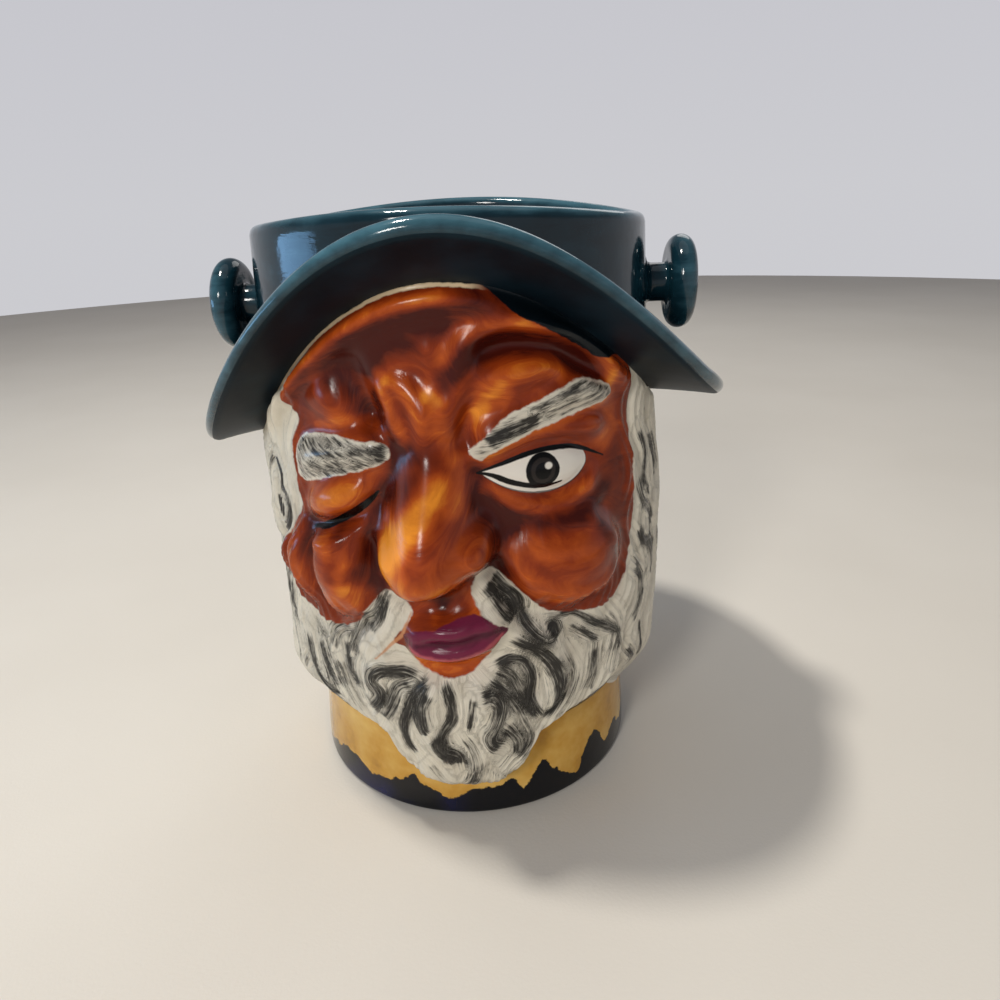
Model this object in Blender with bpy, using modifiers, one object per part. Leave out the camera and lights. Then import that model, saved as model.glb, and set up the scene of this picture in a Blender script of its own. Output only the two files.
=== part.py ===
"""Figural ice bucket: an old sailor's head under a brimmed hat, cast in one piece in glazed earthenware.

Metres, +Z up. The bucket stands on z = 0 with its axis on the Z axis, and the face looks along -Y.
The head is a loft of closed rings. Each ring is a height and a radius for every angle around the axis,
and the carving is a field of lobes, ridges and grooves that swells or sinks the rings.
Angles are in degrees from the front, positive towards +X.
"""
import bpy
import bmesh
import math
import numpy as np
from collections import namedtuple

# The vessel
RIM_HEIGHT = 0.185            # top of the rim, at the front
RIM_WAVE = 0.0024             # how far the rim sinks below its mean height at the sides
RIM_BACK_RISE = 0.0015        # how much higher the rim is at the back
RIM_RADIUS = 0.0589
RIM_THICKNESS = 0.0052
CROWN_FLARE = 0.045           # how much the crown widens for each metre down from the rim
WALL = 0.006
FLOOR_THICKNESS = 0.0075
FLOOR_CORNER = 0.012          # radius of the curve between the inner wall and the inner floor
FOOT_RADIUS = 0.0565
COLLAR_TAPER = 0.0012         # how much slimmer the collar is above than at the foot
FOOT_EDGE = 0.0014            # rounding of the foot's outer edge

# The head, without its carving
HEAD_RADIUS = 0.0645
TEMPLE_SINK = 0.0022          # how much slimmer the head is at the temples than at the jaw
THROAT_SINK = 0.0010          # how much slimmer it is where the beard begins
HEAD_FULLER_SIDE = 0.0016     # the jaw's right side stands out this much more than the mean
BEARD_TURN = 2.5              # the middle of the beard's tip, in degrees from the front
BEARD_TIP_HEIGHT = 0.013
BEARD_TIP_ANGLE = 21.0        # the tip's half width
BEARD_BLUNTNESS = 3.6         # a higher power makes the beard's tip blunter
BEARD_SIDE_HEIGHT = 0.030     # where the tip's sides end
BEARD_CORNER_HEIGHT = 0.0365  # the beard's lower edge climbs on to this on each side
BEARD_CORNER_ANGLE = 44.0
NAPE_HEIGHT = 0.024           # the hair's lower edge at the sides and the back
NAPE_ANGLE = 74.0             # it has sunk to this height here
BEARD_LEDGE = 0.008           # height in which the beard swells out over the collar, in front
NAPE_LEDGE = 0.022            # the same at the sides and the back
LEDGE_ANGLES = (35.0, 75.0)   # the one turns into the other between these angles

# The hat's brim
BRIM_END_RADIUS = 0.0805      # at the front and the back
BRIM_LEFT_RADIUS = 0.0795
BRIM_RIGHT_RADIUS = 0.0845
BRIM_FRONT_HEIGHT = 0.1838    # top of the lip at the front
BRIM_BACK_HEIGHT = 0.172
BRIM_LEFT_HEIGHT = 0.1218     # top of the lip at the drooping sides
BRIM_RIGHT_HEIGHT = 0.1318
BRIM_LIP = 0.0027             # radius of the rolled lip
BRIM_ARCH = 2.4               # a higher power makes the arch over the face narrower
HAT_FRONT_HEIGHT = 0.1685     # where the underside of the brim meets the head
HAT_BACK_HEIGHT = 0.152
HAT_LEFT_HEIGHT = 0.1180
HAT_RIGHT_HEIGHT = 0.1268
HAT_TURN = 3.0                # the brim's highest place, in degrees from the front
BRIM_ROOT = 0.0068            # thickness of the brim where it leaves the crown
BRIM_FILLET = 0.0028
FILLET_NEAR = 0.2             # share of the fillet by which its two edges clear the crown and the brim
UNDERSIDE_RISE = 0.44         # share of its climb that the brim's underside has made halfway out
TOP_RISE = 0.45               # the same for the top of the brim

# The knobs that a bail handle would hook behind
KNOB_RADIUS = 0.014
KNOB_THICKNESS = 0.0078
KNOB_CENTRE = 0.0705          # from the bucket's axis to the middle of the disc
KNOB_STEM_RADIUS = 0.0058
KNOB_FLARE = 0.0022           # how much the stem widens into the crown
KNOB_DOME = 0.0005            # how far the middle of the disc's outer face stands out
KNOB_EDGE = 0.0012            # rounding between the stem and the disc
KNOB_LEFT_HEIGHT = 0.1575
KNOB_RIGHT_HEIGHT = 0.160
KNOB_SIDES = 24

# The loft's rings
FACE_COLUMNS = 58
FACE_HALF_ANGLE = 82.0
BACK_COLUMNS = 28
LEDGE_ROWS = 3
FACE_ROWS = 30
FACE_ROWS_CROWDING = 0.3      # rows lie this much closer in the middle of the face
HAT_COLUMNS = 56
INNER_COLUMNS = 36
INNER_ROWS = 6
CROWN_ROWS = 3
FLOOR_ROWS = 3
LIP_TURNS = (-115.0, -55.0, 0.0, 55.0, 105.0)
RIM_TURNS = (45.0, 90.0, 135.0, 180.0)

# The carving's own unit is one 185th of the height, a millimetre at this size
UNIT = RIM_HEIGHT / 185.0
UNITS_PER_DEGREE = 1.12
THROAT_UNITS = (20.0, 50.0)   # heights between which the head swells from the throat to the jaw
JAW_UNITS = (20.0, 65.0)      # heights between which the jaw's fuller side comes in
CHEEK_UNITS = (78.0, 128.0)   # heights between which it goes again
TEMPLE_UNITS = (95.0, 135.0)  # heights between which the head narrows to the temples

# A lobe is a swelling: its centre, its half width and half height, its rise, its turn in degrees, and
# its edge, from 1 for a crisp edge to 2 for a soft one. A ridge or groove runs through a few places.
Lobe = namedtuple("Lobe", "angle height half_width half_height rise turn edge")
Ridge = namedtuple("Ridge", "places half_width rise")

FACE_LOBES = {
    "left nostril wing": Lobe(-9.8, 98.5, 7.5, 10.0, 12.0, 12, 1.1),
    "right nostril wing": Lobe(5.6, 101.5, 8.6, 9.5, 13.0, -10, 1.0),
    "left closed lid": Lobe(-25.5, 112.5, 15, 7.5, 5.2, 20, 1.1),
    "right eyeball": Lobe(23.6, 119.5, 17.5, 7.4, 2.8, -2, 1.2),
    "frown": Lobe(-3.0, 135.0, 13.0, 12.0, 2.6, 0, 1.6),
    "right brow mound": Lobe(19.5, 145.5, 17, 8.0, 3.4, 12, 1.5),
    "left brow mound": Lobe(-26.0, 138.0, 12, 8, 2.0, -28, 1.8),
    "left cheek": Lobe(-26.8, 91.5, 13.5, 17.5, 8.6, 10, 1.1),
    "left outer cheek": Lobe(-41.0, 90.0, 9.5, 15, 5.6, -6, 1.2),
    "left temple fold": Lobe(-51.0, 88.0, 6.5, 9, 3.0, 0, 1.6),
    "right cheek": Lobe(31.0, 93.0, 20.5, 16.5, 8.6, -8, 1.2),
    "mouth mound": Lobe(1.0, 77.0, 19, 15, 4.0, 6, 2.0),
    "chin beard": Lobe(2.0, 45.0, 34, 32, 3.0, 0, 2.0),
}
FACE_RIDGES = {
    "left brow": Ridge([(-40, 119.5), (-30, 123.5), (-20, 126), (-9, 128.5)], 8.0, 4.6),
    "right brow": Ridge([(8, 127.5), (15, 132), (24, 136.5), (34, 139), (48, 137)], 6.4, 5.0),
    "right lid hood": Ridge([(6, 123.5), (13.7, 126.5), (24, 129), (35, 129.5), (46, 127)], 4.8, 3.4),
    "forehead roll": Ridge([(1, 130), (4, 137.5), (5.3, 147), (9, 154.5), (16.5, 157.5), (24, 156),
                            (36, 151)], 5.2, 4.2),
    "middle furrow": Ridge([(-2, 155), (0.6, 149), (0.2, 141), (-1, 132)], 4.0, 2.0),
    "inner furrow": Ridge([(-12, 144), (-7.4, 144), (-4.2, 140.5), (-2.8, 135), (-2.6, 127)], 3.6, 3.0),
    "outer furrow": Ridge([(-12.5, 145), (-11.8, 140), (-9.4, 135), (-7.2, 127)], 3.2, 2.6),
    "upper lip": Ridge([(-12, 73.2), (-6, 76), (-1, 77.2), (2, 76.8), (8, 79), (14.5, 76)], 4.8, 6.2),
    "lower lip": Ridge([(-11, 72), (-4, 69.6), (4, 70.4), (13.5, 75)], 5.2, 7.0),
    "left moustache": Ridge([(-14.5, 91), (-13.5, 84), (-14.5, 76), (-19, 69), (-27, 64)], 5.2, 3.6),
    "right moustache": Ridge([(8.5, 93), (10.5, 87), (14, 80), (19, 73), (28, 67)], 4.8, 3.8),
    "large right curl": Ridge([(15, 71), (22, 69), (27.5, 60), (26, 50), (19, 45)], 5.5, 4.6),
    "large left curl": Ridge([(-13, 66), (-20, 60), (-21, 50), (-14, 42)], 5.5, 4.2),
    "middle curl": Ridge([(-4, 60), (-7, 50), (-5, 38), (0, 28)], 5.0, 4.2),
    "tip curl": Ridge([(6, 58), (9, 47), (8, 35), (2, 24)], 5.0, 4.2),
}
FOLDS = {
    "left lash line": Ridge([(-36, 103), (-28.5, 104.5), (-20, 109.5), (-12.5, 117)], 3.0, -3.4),
    "left forehead hollow": Ridge([(-22, 152), (-19, 142), (-14, 133)], 7.5, -3.0),
    "right forehead hollow": Ridge([(9, 150), (16, 152.2), (27, 151.6), (36, 148), (46, 140)], 5.4, -3.8),
    "frown crease": Ridge([(-18, 138), (-14, 132.5), (-10, 127)], 2.6, -1.8),
    "roll crease": Ridge([(2.8, 151), (3, 145), (2.4, 139)], 2.6, -1.2),
    "nose root hollow": Ridge([(9, 138), (6.6, 133), (5.5, 127)], 3.6, -1.8),
    "upper eye rim": Ridge([(7, 121.5), (15, 124), (24, 127), (33, 125.6), (41, 119.5)], 2.2, -1.6),
    "lower eye rim": Ridge([(7, 121), (16, 115.5), (25, 113), (33, 114), (41, 119.5)], 2.0, -1.4),
    "first eye bag": Ridge([(9, 119), (16, 113.6), (22, 110.8), (30, 110), (37, 112), (42, 118)], 2.8, 2.2),
    "second eye bag": Ridge([(13, 113), (20, 108.8), (28, 106), (36, 106), (44, 111)], 3.0, 1.4),
    "right outer fold": Ridge([(34, 105), (40, 100.5), (45, 93)], 3.0, 1.2),
    "right cheek rim": Ridge([(14, 101), (17, 93.5), (23, 87.5), (32, 84), (40, 85.5), (45.5, 92)], 3.4, 1.8),
    "left under eye": Ridge([(-36, 99.5), (-28, 101), (-21, 104.5), (-15, 111)], 3.0, 1.4),
    "left cheek crease": Ridge([(-35, 102), (-36, 91), (-34.5, 78)], 3.2, -2.8),
    "left temple notch": Ridge([(-74, 86), (-62, 85), (-54, 97)], 4.4, -3.0),
    "left smile hollow": Ridge([(-16.5, 103), (-18, 92), (-18.5, 80)], 4.6, -3.0),
    "right smile hollow": Ridge([(11.5, 98), (14, 88), (17.5, 79.5), (20, 74)], 4.6, -4.2),
    "mouth line": Ridge([(-12, 72.8), (-5, 72.9), (3, 73.6), (14, 75.8)], 1.8, -1.8),
    "lip groove": Ridge([(-0.8, 89), (-0.8, 80)], 3.4, -1.4),
    "chin hollow": Ridge([(-10, 65.5), (-1, 61.8), (6, 63), (12, 67.5)], 4.0, -2.2),
}
# The nose, section by section downwards: height, angle of its middle, half width, rise
NOSE = [(140, -1, 6.5, 0), (133, -1.1, 8, 2.8), (126, -1.2, 9.5, 5.8), (118, -1.6, 11.8, 10),
        (110, -2.2, 13.2, 14.5), (102, -2.6, 14.2, 17.5), (95.5, -3.4, 13.8, 17.5), (90.5, -4.6, 11, 13),
        (86.5, -5.2, 8, 0)]
RIDGE_STEPS = 6               # points on a ridge's curve between two of its places
RIDGE_TAPER = 0.18            # share of a ridge's length in which its end dies away
RIDGE_SHARE = 0.75            # share of its rise that a ridge adds to the lobes below it
NOSE_EDGE = 1.2               # like a lobe's edge
FOREHEAD_BAND = 4.5           # the raised band of skin under the hat: its distance from the hat
FOREHEAD_BAND_HALF_WIDTH = 4.0
FOREHEAD_BAND_RISE = 2.4
FOREHEAD_ANGLES = (45.0, 60.0)  # the band dies away between these angles
LOCK_RISE = 2.2               # rise of the locks of hair and beard
LOCKS_AROUND = 24             # locks around the head
LOCKS_CROWDING = 1.39         # how many of them are pushed from each side of the back to the front
LOCK_SWAY = 2.8               # how far a lock sways to each side, in degrees
LOCK_WAVE = 34.0              # height of one full sway
LOCK_SHIFT = 3.0              # sways that the locks have out of step around the head
LOCK_DEPTH = 0.6              # share of a lock's rise that lies below the plain head
LOCK_GATHER = 0.8             # how much slimmer the locks are at the beard's tip
GATHER_UNITS = (10.0, 70.0)   # heights between which they gather
SKIN_LEFT_ANGLE = 44.0
SKIN_RIGHT_ANGLE = 57.0
SKIN_LOWER_HEIGHT = 79.0      # the cheeks meet the beard at this height
SKIN_EDGE = 8.0               # how far from the skin's edge the locks reach their full rise
MOUTH_WITHOUT_LOCKS = Lobe(1.0, 74.0, 22, 17, 3.0, 0, 1.0)
SOFTNESS = 1.5                # how far the join between two lobes is rounded
HAT_SHADOW = 3.0              # the carving dies away in this height under the hat

# The cavity
NECK_SLOPE = 0.9              # how fast the cavity widens from the collar into the head
RIM_WALL_START = 0.7          # share of the height from which the cavity closes in to the rim

HAT_COLOUR = (0.012, 0.045, 0.052)
SKIN_COLOUR = (0.30, 0.055, 0.012)
HAIR_COLOUR = (0.52, 0.49, 0.42)
COLLAR_COLOUR = (0.43, 0.25, 0.06)
FOOT_COLOUR = (0.008, 0.009, 0.016)
GLAZE_ROUGHNESS = 0.12
FOOT_BAND_HEIGHT = 0.0105     # the dark glaze climbs the foot to about here


def smooth(value):
    value = np.clip(value, 0.0, 1.0)
    return value * value * (3.0 - 2.0 * value)


def between(value, low, high):
    """0 below low and 1 above high, with an eased climb between them."""
    return smooth((value - low) / (high - low))


def cosine(angle):
    return np.cos(np.radians(angle))


def side_value(angle, left, right):
    """A value that eases from the left side's to the right side's around the bucket."""
    return (left + right) / 2 + (right - left) / 2 * np.sin(np.radians(angle))


def front_share(angle):
    """1 in front, 0 at the sides and -1 at the back, with the brim's own turn."""
    return cosine(angle - HAT_TURN)


def arched(angle, left, right, front, back, power):
    """A height that arches from the sides up to the front's or the back's height."""
    facing = front_share(angle)
    side = side_value(angle, left, right)
    top = np.where(facing > 0, front, back)
    return side + (top - side) * np.abs(facing) ** power


def rim_height(angle):
    mean = RIM_HEIGHT - RIM_WAVE + RIM_BACK_RISE / 2
    return mean + RIM_WAVE * cosine(2 * angle) - RIM_BACK_RISE / 2 * cosine(angle)


def crown_radius(angle, height):
    return RIM_RADIUS + CROWN_FLARE * (rim_height(angle) - height)


def hat_height(angle):
    return arched(angle, HAT_LEFT_HEIGHT, HAT_RIGHT_HEIGHT, HAT_FRONT_HEIGHT, HAT_BACK_HEIGHT, 2.0)


def lip_height(angle):
    return arched(angle, BRIM_LEFT_HEIGHT, BRIM_RIGHT_HEIGHT, BRIM_FRONT_HEIGHT, BRIM_BACK_HEIGHT, BRIM_ARCH)


def brim_radius(angle):
    side = side_value(angle, BRIM_LEFT_RADIUS, BRIM_RIGHT_RADIUS)
    return side + (BRIM_END_RADIUS - side) * cosine(angle) ** 2


def beard_height(angle):
    """Height of the beard's and the hair's lower edge: a blunt tip in front, level at the back."""
    aside = np.abs(angle - BEARD_TURN)
    tip = np.minimum(aside / BEARD_TIP_ANGLE, 1.0) ** BEARD_BLUNTNESS
    climb = np.clip((aside - BEARD_TIP_ANGLE) / (BEARD_CORNER_ANGLE - BEARD_TIP_ANGLE), 0.0, 1.0)
    settle = between(aside, BEARD_CORNER_ANGLE, NAPE_ANGLE)
    height = BEARD_TIP_HEIGHT + (BEARD_SIDE_HEIGHT - BEARD_TIP_HEIGHT) * tip
    height = height + (BEARD_CORNER_HEIGHT - BEARD_SIDE_HEIGHT) * np.sin(climb * math.pi / 2)
    return height + (NAPE_HEIGHT - BEARD_CORNER_HEIGHT) * settle


def ledge_height(angle):
    """The height in which the hair swells out over the collar."""
    return BEARD_LEDGE + (NAPE_LEDGE - BEARD_LEDGE) * between(np.abs(angle), *LEDGE_ANGLES)


def collar_radius(height):
    return FOOT_RADIUS - COLLAR_TAPER * smooth(height / NAPE_HEIGHT)


def plain_radius(angle, height):
    """The head's radius without carving, a little narrower at the temples than at the jaw."""
    units = height / UNIT
    jaw = between(units, *JAW_UNITS) - between(units, *CHEEK_UNITS)
    radius = HEAD_RADIUS - TEMPLE_SINK * between(units, *TEMPLE_UNITS)
    radius = radius - THROAT_SINK * (1.0 - between(units, *THROAT_UNITS))
    return radius + HEAD_FULLER_SIDE * np.sin(np.radians(angle)) * jaw


def lobe_field(lobe, angle, units):
    across = (angle - lobe.angle) * UNITS_PER_DEGREE
    up = units - lobe.height
    turn = math.radians(lobe.turn)
    along = across * math.cos(turn) + up * math.sin(turn)
    aside = up * math.cos(turn) - across * math.sin(turn)
    distance = (along / lobe.half_width) ** 2 + (aside / lobe.half_height) ** 2
    return lobe.rise * np.clip(1.0 - distance, 0.0, 1.0) ** lobe.edge


def curve_through(places):
    """Points on a smooth curve that passes through the given places."""
    points = [np.array(place, dtype=float) for place in places]
    ends = [2 * points[0] - points[1]] + points + [2 * points[-1] - points[-2]]
    curve = []
    for before, start, stop, after in zip(ends, ends[1:], ends[2:], ends[3:]):
        for step in range(RIDGE_STEPS):
            t = step / RIDGE_STEPS
            curve.append(0.5 * (2 * start + (stop - before) * t
                                + (2 * before - 5 * start + 4 * stop - after) * t ** 2
                                + (3 * start - before - 3 * stop + after) * t ** 3))
    curve.append(points[-1])
    return np.array(curve)


def ridge_field(ridge, angle, units):
    """A rounded ridge, or a groove where the rise is negative, that dies away at both ends."""
    curve = curve_through([(a * UNITS_PER_DEGREE, h) for a, h in ridge.places])
    spot = np.stack([angle * UNITS_PER_DEGREE, units], axis=-1)
    nearest = np.full(spot.shape[:-1], np.inf)
    share = np.zeros(spot.shape[:-1])
    pieces = len(curve) - 1
    for index, (start, stop) in enumerate(zip(curve, curve[1:])):
        run = stop - start
        t = np.clip((spot - start) @ run / (run @ run), 0.0, 1.0)
        distance = np.linalg.norm(spot - start - t[..., None] * run, axis=-1)
        closer = distance < nearest
        nearest = np.where(closer, distance, nearest)
        share = np.where(closer, (index + t) / pieces, share)
    profile = np.clip(1.0 - (nearest / ridge.half_width) ** 2, 0.0, 1.0) ** 2
    taper = smooth(np.minimum(share, 1.0 - share) / RIDGE_TAPER + 0.1)
    return ridge.rise * profile * taper


def blend(first, second):
    """The higher of two fields, with a soft join between them."""
    overlap = np.maximum(SOFTNESS - np.abs(first - second), 0.0) / SOFTNESS
    return np.maximum(first, second) + overlap ** 2 * SOFTNESS / 4 * (np.minimum(first, second) > 0)


def nose_field(angle, units):
    """The nose swells from section to section and ends in a blunt drooping tip."""
    sections = curve_through(NOSE)[::-1]
    middle, half_width, rise = (np.interp(units, sections[:, 0], sections[:, i]) for i in (1, 2, 3))
    aside = (angle - middle) * UNITS_PER_DEGREE / half_width
    inside = (units > sections[0, 0]) * (units < sections[-1, 0])
    return inside * np.maximum(rise, 0.0) * np.clip(1.0 - aside ** 2, 0.0, 1.0) ** NOSE_EDGE


def skin_share(angle, units):
    """1 on the bare face, 0 on the hair and the beard."""
    reach = np.where(angle < 0, SKIN_LEFT_ANGLE, SKIN_RIGHT_ANGLE)
    sideways = smooth((reach - np.abs(angle)) / SKIN_EDGE)
    upwards = smooth((units - SKIN_LOWER_HEIGHT) / SKIN_EDGE)
    return sideways * upwards


def locks(angle, units):
    """Wavy locks that run down the hair and gather towards the beard's tip."""
    ahead = cosine(np.minimum(np.abs(angle), 90.0))
    gather = LOCK_GATHER * ahead * (1.0 - between(units, *GATHER_UNITS))
    sway = LOCK_SWAY * np.sin(2 * math.pi * units / LOCK_WAVE + LOCK_SHIFT * np.radians(angle))
    spread = angle * (1.0 + gather) + sway
    place = LOCKS_AROUND * spread / 360.0 + LOCKS_CROWDING * np.sin(np.radians(spread))
    across = 2.0 * (place - np.floor(place)) - 1.0
    return LOCK_RISE * (np.sqrt(np.clip(1.0 - across ** 2, 0.0, 1.0)) - LOCK_DEPTH)


def carving(angle, height):
    """How far the carving stands out from the plain head, in metres."""
    units = height / UNIT
    field = nose_field(angle, units)
    for lobe in FACE_LOBES.values():
        field = blend(field, lobe_field(lobe, angle, units))
    for ridge in FACE_RIDGES.values():
        field = np.maximum(field, 0.0) + RIDGE_SHARE * np.maximum(ridge_field(ridge, angle, units), 0.0)
    for fold in FOLDS.values():
        field = field + ridge_field(fold, angle, units)
    below_hat = hat_height(angle) / UNIT - units
    band = np.clip(1.0 - ((below_hat - FOREHEAD_BAND) / FOREHEAD_BAND_HALF_WIDTH) ** 2, 0.0, 1.0)
    in_front = 1.0 - between(np.abs(angle), *FOREHEAD_ANGLES)
    field = field + FOREHEAD_BAND_RISE * band * in_front
    mouth = smooth(lobe_field(MOUTH_WITHOUT_LOCKS, angle, units))
    hair = (1.0 - skin_share(angle, units)) * (1.0 - mouth)
    return UNIT * (field + hair * locks(angle, units))


def head_radius(angle, height):
    """The carved head, swelling out over the collar at the beard's and the hair's lower edge."""
    rise = (height - beard_height(angle)) / ledge_height(angle)
    swell = np.sin(np.clip(rise, 0.0, 1.0) * math.pi / 2)
    under_hat = smooth((hat_height(angle) - height) / (HAT_SHADOW * UNIT))
    carved = plain_radius(angle, height) + carving(angle, height) * under_hat
    collar = collar_radius(height)
    return collar + (carved - collar) * swell


def face_angles():
    front = np.linspace(-FACE_HALF_ANGLE, FACE_HALF_ANGLE, FACE_COLUMNS)
    back = np.linspace(FACE_HALF_ANGLE, 360.0 - FACE_HALF_ANGLE, BACK_COLUMNS + 2)[1:-1]
    return wrap(np.concatenate([front, back]))


def even_angles(count):
    return wrap(np.arange(count) * 360.0 / count)


def wrap(angles):
    """Angles sorted from -180 to 180, so that neighbouring rings line up."""
    return np.sort((angles + 180.0) % 360.0 - 180.0)


def ring(bm, angles, radius, height):
    """A closed ring of vertices; radius and height are single values or one for each angle."""
    radius = np.broadcast_to(radius, angles.shape)
    height = np.broadcast_to(height, angles.shape)
    vertices = []
    for a, r, h in zip(np.radians(angles), radius, height):
        vertices.append(bm.verts.new((r * math.sin(a), -r * math.cos(a), h)))
    return list(angles), vertices


def stitch(bm, lower, upper, material):
    """Skin two rings with triangles, stepping round whichever ring is behind."""
    lower_angles, lower_vertices = lower
    upper_angles, upper_vertices = upper
    i = j = 0
    while i < len(lower_vertices) or j < len(upper_vertices):
        low_next = lower_angles[i + 1] if i + 1 < len(lower_angles) else lower_angles[0] + 360.0
        up_next = upper_angles[j + 1] if j + 1 < len(upper_angles) else upper_angles[0] + 360.0
        here = lower_vertices[i % len(lower_vertices)]
        above = upper_vertices[j % len(upper_vertices)]
        if j >= len(upper_vertices) or (i < len(lower_vertices) and low_next <= up_next):
            i += 1
            corner = lower_vertices[i % len(lower_vertices)]
        else:
            j += 1
            corner = upper_vertices[j % len(upper_vertices)]
        face = bm.faces.new((here, corner, above))
        face.material_index = material
        face.smooth = True


def cap(bm, edge_ring, height, material, upwards):
    """Close a ring with a fan around a centre vertex."""
    centre = bm.verts.new((0.0, 0.0, height))
    vertices = edge_ring[1]
    for first, second in zip(vertices, vertices[1:] + vertices[:1]):
        corners = (centre, first, second) if upwards else (centre, second, first)
        face = bm.faces.new(corners)
        face.material_index = material


def glaze(name, colour):
    material = bpy.data.materials.new(name)
    material.use_nodes = True
    shader = material.node_tree.nodes["Principled BSDF"]
    shader.inputs["Base Color"].default_value = (*colour, 1.0)
    shader.inputs["Roughness"].default_value = GLAZE_ROUGHNESS
    shader.inputs["Metallic"].default_value = 0.0
    material.diffuse_color = (*colour, 1.0)
    return material


HAT, SKIN, HAIR, COLLAR, FOOT = range(5)


def foot_rings(bm):
    """The flat foot and the dark band above it."""
    angles = even_angles(HAT_COLUMNS)
    standing = ring(bm, angles, FOOT_RADIUS - FOOT_EDGE, 0.0)
    cap(bm, standing, 0.0, FOOT, upwards=False)
    edge = ring(bm, angles, FOOT_RADIUS, FOOT_EDGE)
    band = ring(bm, angles, FOOT_RADIUS, FOOT_BAND_HEIGHT)
    stitch(bm, standing, edge, FOOT)
    stitch(bm, edge, band, FOOT)
    return band


def head_rings(bm, below):
    """The collar's top, the beard, the face and the hair, up to the underside of the brim."""
    angles = face_angles()
    edge = beard_height(angles)
    top = hat_height(angles)
    start = ring(bm, angles, head_radius(angles, edge), edge)
    stitch(bm, below, start, COLLAR)
    last = start
    ledge = ledge_height(angles)
    heights = [edge + ledge * (row / LEDGE_ROWS) ** 1.5 for row in range(1, LEDGE_ROWS + 1)]
    for row in range(1, FACE_ROWS + 1):
        share = row / FACE_ROWS
        share = share + FACE_ROWS_CROWDING * math.sin(2 * math.pi * share) / (2 * math.pi)
        heights.append(edge + ledge + (top - edge - ledge) * share)
    for height in heights:
        following = ring(bm, angles, head_radius(angles, height), height)
        stitch(bm, last, following, HAIR)
        last = following
    return last


def brim_rings(bm, below):
    """The underside, the rolled lip and the top of the brim, up to the crown."""
    angles = even_angles(HAT_COLUMNS)
    inner_height = hat_height(angles)
    inner_radius = head_radius(angles, inner_height)
    lip_radius = brim_radius(angles) - BRIM_LIP
    lip_centre = lip_height(angles) - BRIM_LIP
    slope = np.arctan2(lip_centre - inner_height, lip_radius - inner_radius)
    rings = [ring(bm, angles, (inner_radius + lip_radius) / 2,
                  inner_height + (lip_centre - BRIM_LIP - inner_height) * UNDERSIDE_RISE)]
    for turn in LIP_TURNS:
        around = slope + math.radians(turn)
        rings.append(ring(bm, angles, lip_radius + BRIM_LIP * np.cos(around),
                          lip_centre + BRIM_LIP * np.sin(around)))
    root = inner_height + BRIM_ROOT
    crown = crown_radius(angles, root)
    middle = (lip_radius + crown) / 2
    rings.append(ring(bm, angles, middle, root + (lip_centre + BRIM_LIP - root) * TOP_RISE))
    rings.append(ring(bm, angles, crown + BRIM_FILLET, root + FILLET_NEAR * BRIM_FILLET))
    rings.append(ring(bm, angles, crown + FILLET_NEAR * BRIM_FILLET, root + BRIM_FILLET))
    last = below
    for following in rings:
        stitch(bm, last, following, HAT)
        last = following
    return last, root + BRIM_FILLET


def crown_rings(bm, below, root):
    """The crown above the brim and its rounded rim."""
    angles = even_angles(HAT_COLUMNS)
    rim = rim_height(angles)
    half = RIM_THICKNESS / 2
    last = below
    for row in range(1, CROWN_ROWS + 1):
        height = root + (rim - half - root) * row / CROWN_ROWS
        following = ring(bm, angles, crown_radius(angles, height), height)
        stitch(bm, last, following, HAT)
        last = following
    for turn in RIM_TURNS:
        around = math.radians(turn)
        following = ring(bm, angles, RIM_RADIUS - half + half * math.cos(around),
                         rim - half + half * math.sin(around))
        stitch(bm, last, following, HAT)
        last = following
    return last


def inner_radius(angle, height):
    """The cavity follows the plain head at the wall's thickness, and the rim above the brim."""
    rim = RIM_RADIUS - RIM_THICKNESS
    below = plain_radius(angle, height) - WALL
    neck = collar_radius(height) - WALL + NECK_SLOPE * np.maximum(height - NAPE_HEIGHT, 0.0)
    below = np.minimum(below, neck)
    return below + (rim - below) * between(height / RIM_HEIGHT, RIM_WALL_START, 1.0)


def inner_rings(bm, below):
    """The wall of the cavity, from the rim down to the floor."""
    angles = even_angles(INNER_COLUMNS)
    rim = rim_height(angles) - RIM_THICKNESS / 2
    bottom = FLOOR_THICKNESS + FLOOR_CORNER
    last = below
    for row in range(1, INNER_ROWS + 1):
        height = rim + (bottom - rim) * row / INNER_ROWS
        following = ring(bm, angles, inner_radius(angles, height), height)
        stitch(bm, last, following, HAT)
        last = following
    wall = inner_radius(angles, np.full(angles.shape, bottom))
    for row in range(1, FLOOR_ROWS + 1):
        around = math.pi / 2 * row / FLOOR_ROWS
        following = ring(bm, angles, wall - FLOOR_CORNER * (1 - math.cos(around)),
                         bottom - FLOOR_CORNER * math.sin(around))
        stitch(bm, last, following, HAT)
        last = following
    cap(bm, last, FLOOR_THICKNESS, HAT, upwards=True)


def paint_head(bm):
    """Give the skin's triangles their own glaze."""
    for face in bm.faces:
        if face.material_index != HAIR:
            continue
        centre = face.calc_center_median()
        angle = math.degrees(math.atan2(centre.x, -centre.y))
        if float(skin_share(np.array(angle), np.array(centre.z / UNIT))) > 0.5:
            face.material_index = SKIN


def make_vessel():
    bm = bmesh.new()
    band = foot_rings(bm)
    head = head_rings(bm, band)
    brim, root = brim_rings(bm, head)
    rim = crown_rings(bm, brim, root)
    inner_rings(bm, rim)
    paint_head(bm)
    mesh = bpy.data.meshes.new("ice_bucket")
    bm.to_mesh(mesh)
    bm.free()
    for name, colour in (("hat_glaze", HAT_COLOUR), ("skin_glaze", SKIN_COLOUR), ("hair_glaze", HAIR_COLOUR),
                         ("collar_glaze", COLLAR_COLOUR), ("foot_glaze", FOOT_COLOUR)):
        mesh.materials.append(glaze(name, colour))
    return bpy.data.objects.new("ice_bucket", mesh)


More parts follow.
